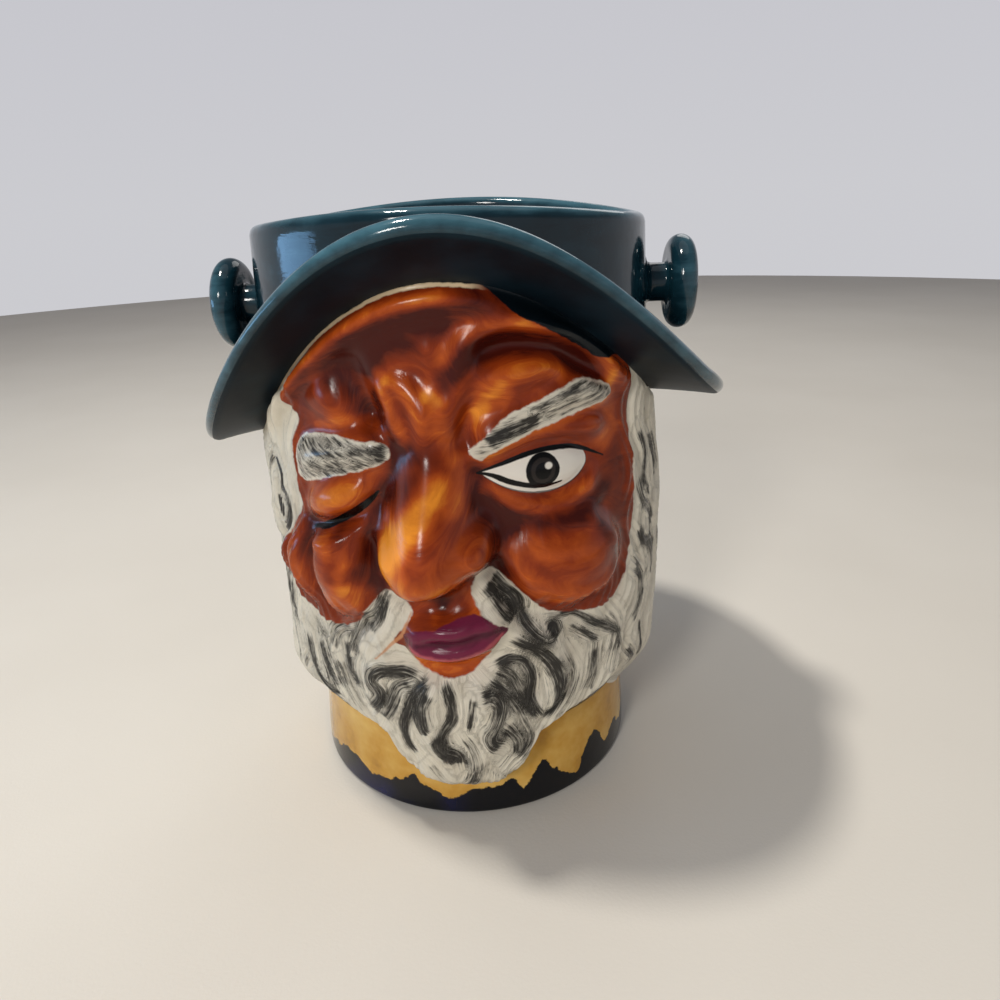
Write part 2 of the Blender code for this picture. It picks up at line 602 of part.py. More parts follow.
def knob_profile(wall):
    """Half section of a knob on its own axis, from the outer face's centre in to the stem's root."""
    half = KNOB_THICKNESS / 2
    outer = KNOB_CENTRE + half
    inner = KNOB_CENTRE - half
    flat = KNOB_RADIUS - half
    points = [(0.0, outer + KNOB_DOME), (0.6 * flat, outer + 0.64 * KNOB_DOME), (flat, outer)]
    for turn in (60, 30, 0, -30, -60):
        around = math.radians(turn)
        points.append((flat + half * math.cos(around), KNOB_CENTRE + half * math.sin(around)))
    points.append((flat, inner))
    points.append((KNOB_STEM_RADIUS + KNOB_EDGE, inner))
    points.append((KNOB_STEM_RADIUS, inner - KNOB_EDGE))
    points.append((KNOB_STEM_RADIUS, wall + KNOB_FLARE))
    points.append((KNOB_STEM_RADIUS + KNOB_FLARE, wall))
    points.append((KNOB_STEM_RADIUS + KNOB_FLARE, wall - RIM_THICKNESS / 2))
    points.append((0.0, wall - RIM_THICKNESS / 2))
    return points


def make_knob(name, side, height):
    """A turned knob on the hat's side; it becomes part of the vessel by a union."""
    wall = float(crown_radius(np.array(90.0 * side), np.array(height)))
    profile = knob_profile(wall)
    mesh = bpy.data.meshes.new(name)
    edges = [(i, i + 1) for i in range(len(profile) - 1)]
    mesh.from_pydata([(r, 0.0, z) for r, z in profile], edges, [])
    knob = bpy.data.objects.new(name, mesh)
    screw = knob.modifiers.new("turn", "SCREW")
    screw.steps = KNOB_SIDES
    screw.render_steps = KNOB_SIDES
    screw.use_merge_vertices = True
    screw.merge_threshold = 0.00001
    knob.rotation_euler = (0.0, math.radians(90.0 * side), 0.0)
    knob.location = (0.0, 0.0, height)
    knob.hide_render = True
    knob.display_type = "WIRE"
    return knob


def join(vessel, knob):
    union = vessel.modifiers.new("with_" + knob.name, "BOOLEAN")
    union.operation = "UNION"
    union.solver = "EXACT"
    union.object = knob


def main():
    for old in list(bpy.data.objects):
        bpy.data.objects.remove(old)
    parts = bpy.data.collections.new("ice_bucket")
    cutters = bpy.data.collections.new("cutters")
    bpy.context.scene.collection.children.link(parts)
    bpy.context.scene.collection.children.link(cutters)
    vessel = make_vessel()
    parts.objects.link(vessel)
    knobs = (("left_knob", -1, KNOB_LEFT_HEIGHT), ("right_knob", 1, KNOB_RIGHT_HEIGHT))
    for name, side, height in knobs:
        knob = make_knob(name, side, height)
        cutters.objects.link(knob)
        join(vessel, knob)


main()
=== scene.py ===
import bpy
import math
from functools import reduce
import numpy as np
from mathutils import Matrix, Vector


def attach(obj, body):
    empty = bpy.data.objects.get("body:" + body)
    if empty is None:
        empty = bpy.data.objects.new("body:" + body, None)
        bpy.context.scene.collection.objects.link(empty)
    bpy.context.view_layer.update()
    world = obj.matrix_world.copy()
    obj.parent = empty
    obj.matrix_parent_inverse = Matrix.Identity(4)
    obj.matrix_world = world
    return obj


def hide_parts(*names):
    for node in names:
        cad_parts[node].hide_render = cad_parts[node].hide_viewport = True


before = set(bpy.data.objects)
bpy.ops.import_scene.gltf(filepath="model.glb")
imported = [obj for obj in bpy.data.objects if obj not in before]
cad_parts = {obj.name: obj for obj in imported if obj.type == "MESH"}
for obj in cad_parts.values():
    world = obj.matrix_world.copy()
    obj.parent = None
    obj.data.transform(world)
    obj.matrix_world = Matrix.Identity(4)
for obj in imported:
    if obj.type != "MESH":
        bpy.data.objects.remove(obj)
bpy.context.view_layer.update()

# An ice bucket cast as an old sailor's head under a brimmed hat, painted and clear glazed.
# Metres, +Z up. The face looks along -Y, and angles are degrees from the front, positive towards +X.
# The carving and the paint are laid out on the unrolled head, in degrees around it and in units of height.

bucket = {
    "rimHeight": 0.185,
    "unitsHigh": 185,          # the carving and the paint divide that height into these units
    "rimWave": 0.0024,         # how far the rim sinks at the sides
    "rimBackRise": 0.0015,
    "rimRadius": 0.0589,
    "rimThickness": 0.0052,
    "crownFlare": 0.045,       # how much the crown widens for each metre down
    "wall": 0.006,
    "floorThickness": 0.0075,
    "floorCorner": 0.012,
    "footRadius": 0.0565,
    "collarTaper": 0.0012,
    "footEdge": 0.0014,
    "neckSlope": 0.9,          # how fast the cavity widens above the nape
    "cavityTurn": 0.7,         # the share of the height where the cavity leaves the head's form
    "rows": {"crown": 16, "rim": 15, "wall": 40, "corner": 10, "floor": 12, "foot": 12, "footEdge": 6,
             "collar": 34},
    "capShare": 0.03,          # the middle of a flat floor is closed inside this share of its radius
    "footTurn": -75,           # where the foot's rounded edge begins, in degrees below its side
}
unit = bucket["rimHeight"] / bucket["unitsHigh"]
unitsPerDegree = 1.12          # one degree around the head, in units

head = {
    "radius": 0.0645,
    "templeSink": 0.0022,
    "throatSink": 0.0010,
    "fullerSide": 0.0016,
    "throatUnits": (20, 50),
    "jawUnits": (20, 65),
    "cheekUnits": (78, 128),
    "templeUnits": (95, 135),
    "beardTurn": 2.5,          # the middle of the beard's tip, in degrees from the front
    "beardTip": 0.013,
    "beardTipAngle": 21,       # the tip's half width
    "beardBluntness": 3.6,
    "beardSide": 0.030,        # where the tip's sides end
    "beardCorner": 0.0365,
    "beardCornerAngle": 44,
    "nape": 0.024,
    "napeAngle": 74,
    "beardLedge": 0.008,
    "napeLedge": 0.022,
    "ledgeAngles": (35, 75),
    "hatShadow": 3,
    "frontAngle": 86,          # the fine columns reach this far to each side
    "frontColumns": 262,
    "backColumns": 178,
    "rows": 218,
    "softness": 2,             # how many columns and rows the wet clay softens
    "reliefReach": 7,          # the relief behind the painted shade of the hollows and painted light of the ridges is judged over this many
    "backAngles": (65, 110),   # the stronger strands of the back begin between these
}

hat = {
    "turn": 3,                 # the brim's highest place, in degrees from the front
    "endRadius": 0.08047,
    "leftRadius": 0.07947,
    "rightRadius": 0.08447,
    "frontHeight": 0.1838,
    "backHeight": 0.172,
    "leftHeight": 0.1218,
    "rightHeight": 0.1318,
    "arch": 2.4,
    "lip": 0.0027,
    "junctionFront": 0.1685,
    "junctionBack": 0.152,
    "junctionLeft": 0.1180,
    "junctionRight": 0.1268,
    "root": 0.0068,
    "fillet": 0.0028,
    "filletNear": 0.2,
    "filletHeight": 1.6,
    "undersideRise": 0.44,
    "topRise": 0.45,
    "lipTurns": (-105, 100),   # the lip is rolled between these turns from its slope
    "columns": 288,
    "rows": {"under": 16, "lip": 15, "top": 16, "turnUp": 8},
    "shadedLipRows": 2,        # the dry glaze of the underside reaches this far around the lip
    "thinning": [0.15, 0.2, 0.3, 0.2, 0.15],    # how the thin, lighter glaze of an edge, partly a painted highlight, spreads from row to row
    "edgeLight": 0.35,         # how much lighter the painted shade of the underside is at the lip than at the head
    "lipShade": 0.6,
    "crownPool": 0.3,          # how much of the pool at the crown's root runs up the wall
}

knobs = {
    "radius": 0.014,
    "thickness": 0.0078,
    "centre": 0.0705,
    "stemRadius": 0.0058,
    "flare": 0.0022,
    "dome": 0.0005,
    "edge": 0.0012,
    "leftHeight": 0.1575,
    "rightHeight": 0.160,
    "sides": 72,
    "rows": {"face": 14, "bead": 22, "back": 6, "corner": 6, "flare": 10},
    "capShare": 0.04,
    "thin": (0.45, 20, 5),     # how far the glaze thins lighter over the edge, partly a painted highlight, at which row and over how many
}


# Curves and eased steps that the forms share

def ease(value):
    value = np.clip(value, 0, 1)
    return value * value * (3 - 2 * value)


def between(value, low, high):
    return ease((value - low) / (high - low))


def cosine(angle):
    return np.cos(np.radians(angle))


def sideValue(angle, left, right):
    return (left + right) / 2 + (right - left) / 2 * np.sin(np.radians(angle))


def arched(angle, left, right, front, back, power):
    facing = cosine(angle - hat["turn"])
    side = sideValue(angle, left, right)
    return side + (np.where(facing > 0, front, back) - side) * np.abs(facing) ** power


def rimHeightAt(angle):
    mean = bucket["rimHeight"] - bucket["rimWave"] + bucket["rimBackRise"] / 2
    return mean + bucket["rimWave"] * cosine(2 * angle) - bucket["rimBackRise"] / 2 * cosine(angle)


def crownRadiusAt(angle, height):
    return bucket["rimRadius"] + bucket["crownFlare"] * (rimHeightAt(angle) - height)


def junctionAt(angle):
    return arched(angle, hat["junctionLeft"], hat["junctionRight"],
                  hat["junctionFront"], hat["junctionBack"], 2)


def lipHeightAt(angle):
    return arched(angle, hat["leftHeight"], hat["rightHeight"],
                  hat["frontHeight"], hat["backHeight"], hat["arch"])


def brimRadiusAt(angle):
    side = sideValue(angle, hat["leftRadius"], hat["rightRadius"])
    return side + (hat["endRadius"] - side) * cosine(angle) ** 2


def beardEdgeAt(angle):
    aside = np.abs(angle - head["beardTurn"])
    tip = np.minimum(aside / head["beardTipAngle"], 1) ** head["beardBluntness"]
    climb = (aside - head["beardTipAngle"]) / (head["beardCornerAngle"] - head["beardTipAngle"])
    settle = between(aside, head["beardCornerAngle"], head["napeAngle"])
    height = head["beardTip"] + (head["beardSide"] - head["beardTip"]) * tip
    height = height + (head["beardCorner"] - head["beardSide"]) * np.sin(np.clip(climb, 0, 1) * math.pi / 2)
    return height + (head["nape"] - head["beardCorner"]) * settle


def ledgeAt(angle):
    share = between(np.abs(angle), *head["ledgeAngles"])
    return head["beardLedge"] + (head["napeLedge"] - head["beardLedge"]) * share


def collarRadiusAt(height):
    return bucket["footRadius"] - bucket["collarTaper"] * ease(height / head["nape"])


def plainRadiusAt(angle, height):
    units = height / unit
    jaw = between(units, *head["jawUnits"]) - between(units, *head["cheekUnits"])
    radius = head["radius"] - head["templeSink"] * between(units, *head["templeUnits"])
    radius = radius - head["throatSink"] * (1 - between(units, *head["throatUnits"]))
    return radius + head["fullerSide"] * np.sin(np.radians(angle)) * jaw


# The carving. A lobe is (angle, height, half width, half height, rise, turn, edge) and a ridge or
# fold is (places, half width, rise). A higher edge makes a lobe's border softer.

carving = {
    "lobes": {
        "left nostril wing": (-9.8, 98.5, 7.5, 10, 12, 12, 1.1),
        "right nostril wing": (5.6, 101.5, 8.6, 9.5, 13, -10, 1),
        "left closed lid": (-25.5, 112.5, 15, 7.5, 5.2, 20, 1.1),
        "right eyeball": (23.6, 119.5, 17.5, 7.4, 2.8, -2, 1.2),
        "frown": (-3, 135, 13, 12, 2.6, 0, 1.6),
        "right brow mound": (19.5, 145.5, 17, 8, 3.4, 12, 1.5),
        "left brow mound": (-26, 138, 12, 8, 2, -28, 1.8),
        "left cheek": (-26.8, 91.5, 13.5, 17.5, 8.6, 10, 1.1),
        "left outer cheek": (-41, 90, 9.5, 15, 5.6, -6, 1.2),
        "left temple fold": (-51, 88, 6.5, 9, 3, 0, 1.6),
        "right cheek": (31, 93, 20.5, 16.5, 8.6, -8, 1.2),
        "mouth mound": (1, 77, 19, 15, 4, 6, 2),
        "chin beard": (2, 45, 34, 32, 3, 0, 2),
    },
    "ridges": {
        "left brow": ([(-40, 119.5), (-30, 123.5), (-20, 126), (-9, 128.5)], 8, 4.6),
        "right brow": ([(8, 127.5), (15, 132), (24, 136.5), (34, 139), (48, 137)], 6.4, 5),
        "right lid hood": ([(6, 123.5), (13.7, 126.5), (24, 129), (35, 129.5), (46, 127)], 4.8, 3.4),
        "forehead roll": ([(1, 130), (4, 137.5), (5.3, 147), (9, 154.5), (16.5, 157.5), (24, 156),
                           (36, 151)], 5.2, 4.2),
        "middle furrow": ([(-2, 155), (0.6, 149), (0.2, 141), (-1, 132)], 4, 2),
        "inner furrow": ([(-12, 144), (-7.4, 144), (-4.2, 140.5), (-2.8, 135), (-2.6, 127)], 3.6, 3),
        "outer furrow": ([(-12.5, 145), (-11.8, 140), (-9.4, 135), (-7.2, 127)], 3.2, 2.6),
        "upper lip": ([(-12, 73.2), (-6, 76), (-1, 77.2), (2, 76.8), (8, 79), (14.5, 76)], 4.8, 6.2),
        "lower lip": ([(-11, 72), (-4, 69.6), (4, 70.4), (13.5, 75)], 5.2, 7),
        "left moustache": ([(-14.5, 91), (-13.5, 84), (-14.5, 76), (-19, 69), (-27, 64)], 5.2, 3.6),
        "right moustache": ([(8.5, 93), (10.5, 87), (14, 80), (19, 73), (28, 67)], 4.8, 3.8),
        "large right curl": ([(15, 71), (22, 69), (27.5, 60), (26, 50), (19, 45)], 5.5, 4.6),
        "large left curl": ([(-13, 66), (-20, 60), (-21, 50), (-14, 42)], 5.5, 4.2),
        "middle curl": ([(-4, 60), (-7, 50), (-5, 38), (0, 28)], 5, 4.2),
        "tip curl": ([(6, 58), (9, 47), (8, 35), (2, 24)], 5, 4.2),
    },
    "folds": {
        "left lash line": ([(-36, 103), (-28.5, 104.5), (-20, 109.5), (-12.5, 117)], 3, -3.4),
        "left forehead hollow": ([(-22, 152), (-19, 142), (-14, 133)], 7.5, -3),
        "right forehead hollow": ([(9, 150), (16, 152.2), (27, 151.6), (36, 148), (46, 140)], 5.4, -3.8),
        "frown crease": ([(-18, 138), (-14, 132.5), (-10, 127)], 2.6, -1.8),
        "roll crease": ([(2.8, 151), (3, 145), (2.4, 139)], 2.6, -1.2),
        "nose root hollow": ([(9, 138), (6.6, 133), (5.5, 127)], 3.6, -1.8),
        "upper eye rim": ([(7, 121.5), (15, 124), (24, 127), (33, 125.6), (41, 119.5)], 2.2, -1.6),
        "lower eye rim": ([(7, 121), (16, 115.5), (25, 113), (33, 114), (41, 119.5)], 2, -1.4),
        "first eye bag": ([(9, 119), (16, 113.6), (22, 110.8), (30, 110), (37, 112), (42, 118)], 2.8, 2.2),
        "second eye bag": ([(13, 113), (20, 108.8), (28, 106), (36, 106), (44, 111)], 3, 1.4),
        "right outer fold": ([(34, 105), (40, 100.5), (45, 93)], 3, 1.2),
        "right cheek rim": ([(14, 101), (17, 93.5), (23, 87.5), (32, 84), (40, 85.5), (45.5, 92)], 3.4, 1.8),
        "left under eye": ([(-36, 99.5), (-28, 101), (-21, 104.5), (-15, 111)], 3, 1.4),
        "left cheek crease": ([(-35, 102), (-36, 91), (-34.5, 78)], 3.2, -2.8),
        "left temple notch": ([(-74, 86), (-62, 85), (-54, 97)], 4.4, -3),
        "left smile hollow": ([(-16.5, 103), (-18, 92), (-18.5, 80)], 4.6, -3),
        "right smile hollow": ([(11.5, 98), (14, 88), (17.5, 79.5), (20, 74)], 4.6, -4.2),
        "mouth line": ([(-12, 72.8), (-5, 72.9), (3, 73.6), (14, 75.8)], 1.8, -1.8),
        "lip groove": ([(-0.8, 89), (-0.8, 80)], 3.4, -1.4),
        "chin hollow": ([(-10, 65.5), (-1, 61.8), (6, 63), (12, 67.5)], 4, -2.2),
    },
    # height, angle of its middle, half width, rise
    "nose": [(140, -1, 6.5, 0), (133, -1.1, 8, 2.8), (126, -1.2, 9.5, 5.8), (118, -1.6, 11.8, 10),
             (110, -2.2, 13.2, 14.5), (102, -2.6, 14.2, 17.5), (95.5, -3.4, 13.8, 17.5), (90.5, -4.6, 11, 13),
             (86.5, -5.2, 8, 0)],
    "noseEdge": 1.2,
    "curveSteps": 6,           # how finely a line or an outline runs between its places
    "loopSteps": 5,
    "taper": 0.18,             # a ridge fades over this share of its length at each end
    "bluntness": 0.1,
    "ridgeShare": 0.75,
    "join": 1.5,
    "band": 4.5,               # the raised band of skin lies this far under the hat
    "bandHalfWidth": 4,
    "bandRise": 2.4,
    "bandAngles": (45, 60),
    "skinLeft": 44,
    "skinRight": 57,
    "skinLower": 79,
    "skinEdge": 8,
    "mouth": (1, 74, 22, 17, 3, 0, 1),
}

locks = {
    "rise": 2.2,
    "around": 24,
    "crowding": 1.39,
    "sway": 2.8,
    "wave": 34,
    "shift": 3,
    "depth": 0.6,
    "gather": 0.8,
    "gatherUnits": (10, 70),
    "strands": 4,              # strands combed into each lock
    "strandRise": 0.4,
    "backStrandRise": 0.9,
    "combWidth": 2.3,          # from strand to strand along a curl
    "combReach": 2.4,          # how far a curl combs the hair beside it, in half widths
    "combEdge": (0.7, 1),
    "combedShare": 0.5,        # how much a curl flattens the locks under it
    "combSoftness": 0.5,
    "blendSoftness": 2,
    "lockSoftness": 1,
}


def curveThrough(places, closed=False):
    # a smooth curve through the places, or a smooth outline
    points = np.array(places, dtype=float)
    if closed:
        ends = np.vstack([points[-1:], points, points[:2]])
    else:
        ends = np.vstack([2 * points[0] - points[1], points, 2 * points[-1] - points[-2]])
    steps = carving["loopSteps" if closed else "curveSteps"]
    t = np.arange(steps)[:, None] / steps
    curve = [0.5 * (2 * start + (stop - before) * t + (2 * before - 5 * start + 4 * stop - after) * t ** 2
                    + (3 * start - before - 3 * stop + after) * t ** 3)
             for before, start, stop, after in zip(ends, ends[1:], ends[2:], ends[3:])]
    return np.vstack(curve if closed else curve + [points[-1:]])


def unrolled(places):
    return [(angle * unitsPerDegree, height) for angle, height in places]


def nearestOn(curve, across, up, closed=False):
    # distance to a curve, and the share of its length at the nearest place
    starts = curve if closed else curve[:-1]
    stops = np.roll(curve, -1, axis=0) if closed else curve[1:]
    nearest = np.full(across.shape, np.inf)
    share = np.zeros(across.shape)
    for index, (start, run) in enumerate(zip(starts, stops - starts)):
        t = np.clip(((across - start[0]) * run[0] + (up - start[1]) * run[1]) / run.dot(run), 0, 1)
        distance = np.hypot(across - start[0] - t * run[0], up - start[1] - t * run[1])
        closer = distance < nearest
        nearest = np.where(closer, distance, nearest)
        share = np.where(closer, (index + t) / len(starts), share)
    return nearest, share


def near(curve, across, up, margin):
    low = curve.min(axis=0) - margin
    high = curve.max(axis=0) + margin
    return (across > low[0]) & (across < high[0]) & (up > low[1]) & (up < high[1])


def ridgeField(ridge, across, up):
    places, halfWidth, rise = ridge
    curve = curveThrough(unrolled(places))
    field = np.zeros(across.shape)
    close = near(curve, across, up, halfWidth)
    nearest, share = nearestOn(curve, across[close], up[close])
    profile = np.clip(1 - (nearest / halfWidth) ** 2, 0, 1) ** 2
    ends = ease(np.minimum(share, 1 - share) / carving["taper"] + carving["bluntness"])
    field[close] = rise * profile * ends
    return field


def lobeField(lobe, across, up):
    angle, height, halfWidth, halfHeight, rise, turn, edge = lobe
    aside = across - angle * unitsPerDegree
    above = up - height
    turn = math.radians(turn)
    along = aside * math.cos(turn) + above * math.sin(turn)
    beside = above * math.cos(turn) - aside * math.sin(turn)
    return rise * np.clip(1 - (along / halfWidth) ** 2 - (beside / halfHeight) ** 2, 0, 1) ** edge


def blendLobes(first, second):
    overlap = np.maximum(carving["join"] - np.abs(first - second), 0) / carving["join"]
    return np.maximum(first, second) + overlap ** 2 * carving["join"] / 4 * (np.minimum(first, second) > 0)


def noseField(angle, up):
    sections = curveThrough(carving["nose"])[::-1]
    middle, halfWidth, rise = (np.interp(up, sections[:, 0], sections[:, column]) for column in (1, 2, 3))
    aside = (angle - middle) * unitsPerDegree / halfWidth
    inside = (up > sections[0, 0]) * (up < sections[-1, 0])
    return inside * np.maximum(rise, 0) * np.clip(1 - aside ** 2, 0, 1) ** carving["noseEdge"]


def lockPlace(angle, up):
    ahead = cosine(np.minimum(np.abs(angle), 90))
    gather = locks["gather"] * ahead * (1 - between(up, *locks["gatherUnits"]))
    sway = locks["sway"] * np.sin(2 * math.pi * up / locks["wave"] + locks["shift"] * np.radians(angle))
    spread = angle * (1 + gather) + sway
    return locks["around"] * spread / 360 + locks["crowding"] * np.sin(np.radians(spread))


def hairShare(angle, up):
    reach = np.where(angle < 0, carving["skinLeft"], carving["skinRight"])
    sideways = ease((reach - np.abs(angle)) / carving["skinEdge"])
    upwards = ease((up - carving["skinLower"]) / carving["skinEdge"])
    mouth = ease(lobeField(carving["mouth"], angle * unitsPerDegree, up))
    return (1 - sideways * upwards) * (1 - mouth)


def carve(angle, height):
    # how far the carving stands out from the plain head, in units
    up = height / unit
    across = angle * unitsPerDegree
    field = noseField(angle, up)
    for lobe in carving["lobes"].values():
        field = blendLobes(field, lobeField(lobe, across, up))
    for ridge in carving["ridges"].values():
        field = np.maximum(field, 0) + carving["ridgeShare"] * np.maximum(ridgeField(ridge, across, up), 0)
    for fold in carving["folds"].values():
        field = field + ridgeField(fold, across, up)
    belowHat = junctionAt(angle) / unit - up
    band = np.clip(1 - ((belowHat - carving["band"]) / carving["bandHalfWidth"]) ** 2, 0, 1)
    field = field + carving["bandRise"] * band * (1 - between(np.abs(angle), *carving["bandAngles"]))
    place = lockPlace(angle, up)
    acrossLock = 2 * (place - np.floor(place)) - 1
    lock = locks["rise"] * (np.sqrt(np.clip(1 - acrossLock ** 2, 0, 1)) - locks["depth"])
    return field, lock, np.cos(2 * math.pi * locks["strands"] * place)


def soften(field, spread):
    # a soft brush over a grid of rows and columns that closes around the head
    reach = int(math.ceil(3 * spread))
    weights = np.exp(-0.5 * (np.arange(-reach, reach + 1) / spread) ** 2)
    weights = weights / weights.sum()
    tall = np.pad(field, ((reach, reach), (0, 0)), mode="edge")
    wide = sum(w * tall[i:i + field.shape[0]] for i, w in enumerate(weights))
    ringed = np.pad(wide, ((0, 0), (reach, reach)), mode="wrap")
    return sum(w * ringed[:, i:i + field.shape[1]] for i, w in enumerate(weights))


# Meshes made from rows of rings

def roundPoints(angle, radius, height):
    turn = np.radians(angle)
    angle, radius, height = np.broadcast_arrays(turn, radius, height)
    return np.stack([radius * np.sin(angle), -radius * np.cos(angle), height], axis=-1)


def rowsBetween(start, stop, count):
    # the rows of a section after its first, as a column
    return np.linspace(start, stop, count)[1:, None]


def profileOf(radius, height):
    return np.stack(np.broadcast_arrays(radius, height), axis=-1)


def gridPiece(name, points, capEnd=False):
    # a mesh from rows of closed rings, drawn so that its faces point out when the rows climb outside
    rows, columns = points.shape[:2]
    vertices = points.reshape(-1, 3)
    index = np.arange(rows * columns).reshape(rows, columns)
    following = np.roll(index, -1, axis=1)
    corners = np.stack([index[:-1], following[:-1], following[1:], index[1:]], axis=-1).reshape(-1)
    starts = np.arange(0, len(corners), 4)
    if capEnd:
        vertices = np.vstack([vertices, vertices[-columns:].mean(axis=0)])
        fan = np.stack([index[-1], following[-1], np.full(columns, rows * columns)], axis=-1).reshape(-1)
        starts = np.append(starts, len(corners) + np.arange(0, len(fan), 3))
        corners = np.append(corners, fan)
    mesh = bpy.data.meshes.new(name)
    mesh.vertices.add(len(vertices))
    mesh.vertices.foreach_set("co", vertices.astype(np.float32).reshape(-1))
    mesh.loops.add(len(corners))
    mesh.loops.foreach_set("vertex_index", corners.astype(np.int32))
    mesh.polygons.add(len(starts))
    mesh.polygons.foreach_set("loop_start", starts.astype(np.int32))
    mesh.update(calc_edges=True)
    mesh.shade_smooth()
    piece = bpy.data.objects.new(name, mesh)
    bpy.context.scene.collection.objects.link(piece)
    return piece


def storeValues(piece, shape, **fields):
    # a number or a vector for each point of the grid; the cap's middle takes the last one
    mesh = piece.data
    for name, values in fields.items():
        isVector = np.ndim(values) == 3
        kind, slotName, width = ("FLOAT_VECTOR", "vector", 3) if isVector else ("FLOAT", "value", 1)
        grid = np.broadcast_to(values, (*shape, 3) if isVector else shape).astype(np.float32)
        flat = grid.reshape(-1, width)
        missing = len(mesh.vertices) - len(flat)
        flat = np.vstack([flat, flat[-1:].repeat(missing, 0)])
        mesh.attributes.new(name, kind, "POINT").data.foreach_set(slotName, flat.reshape(-1))


# What is painted on the unrolled head: outlines, lines and brush strokes

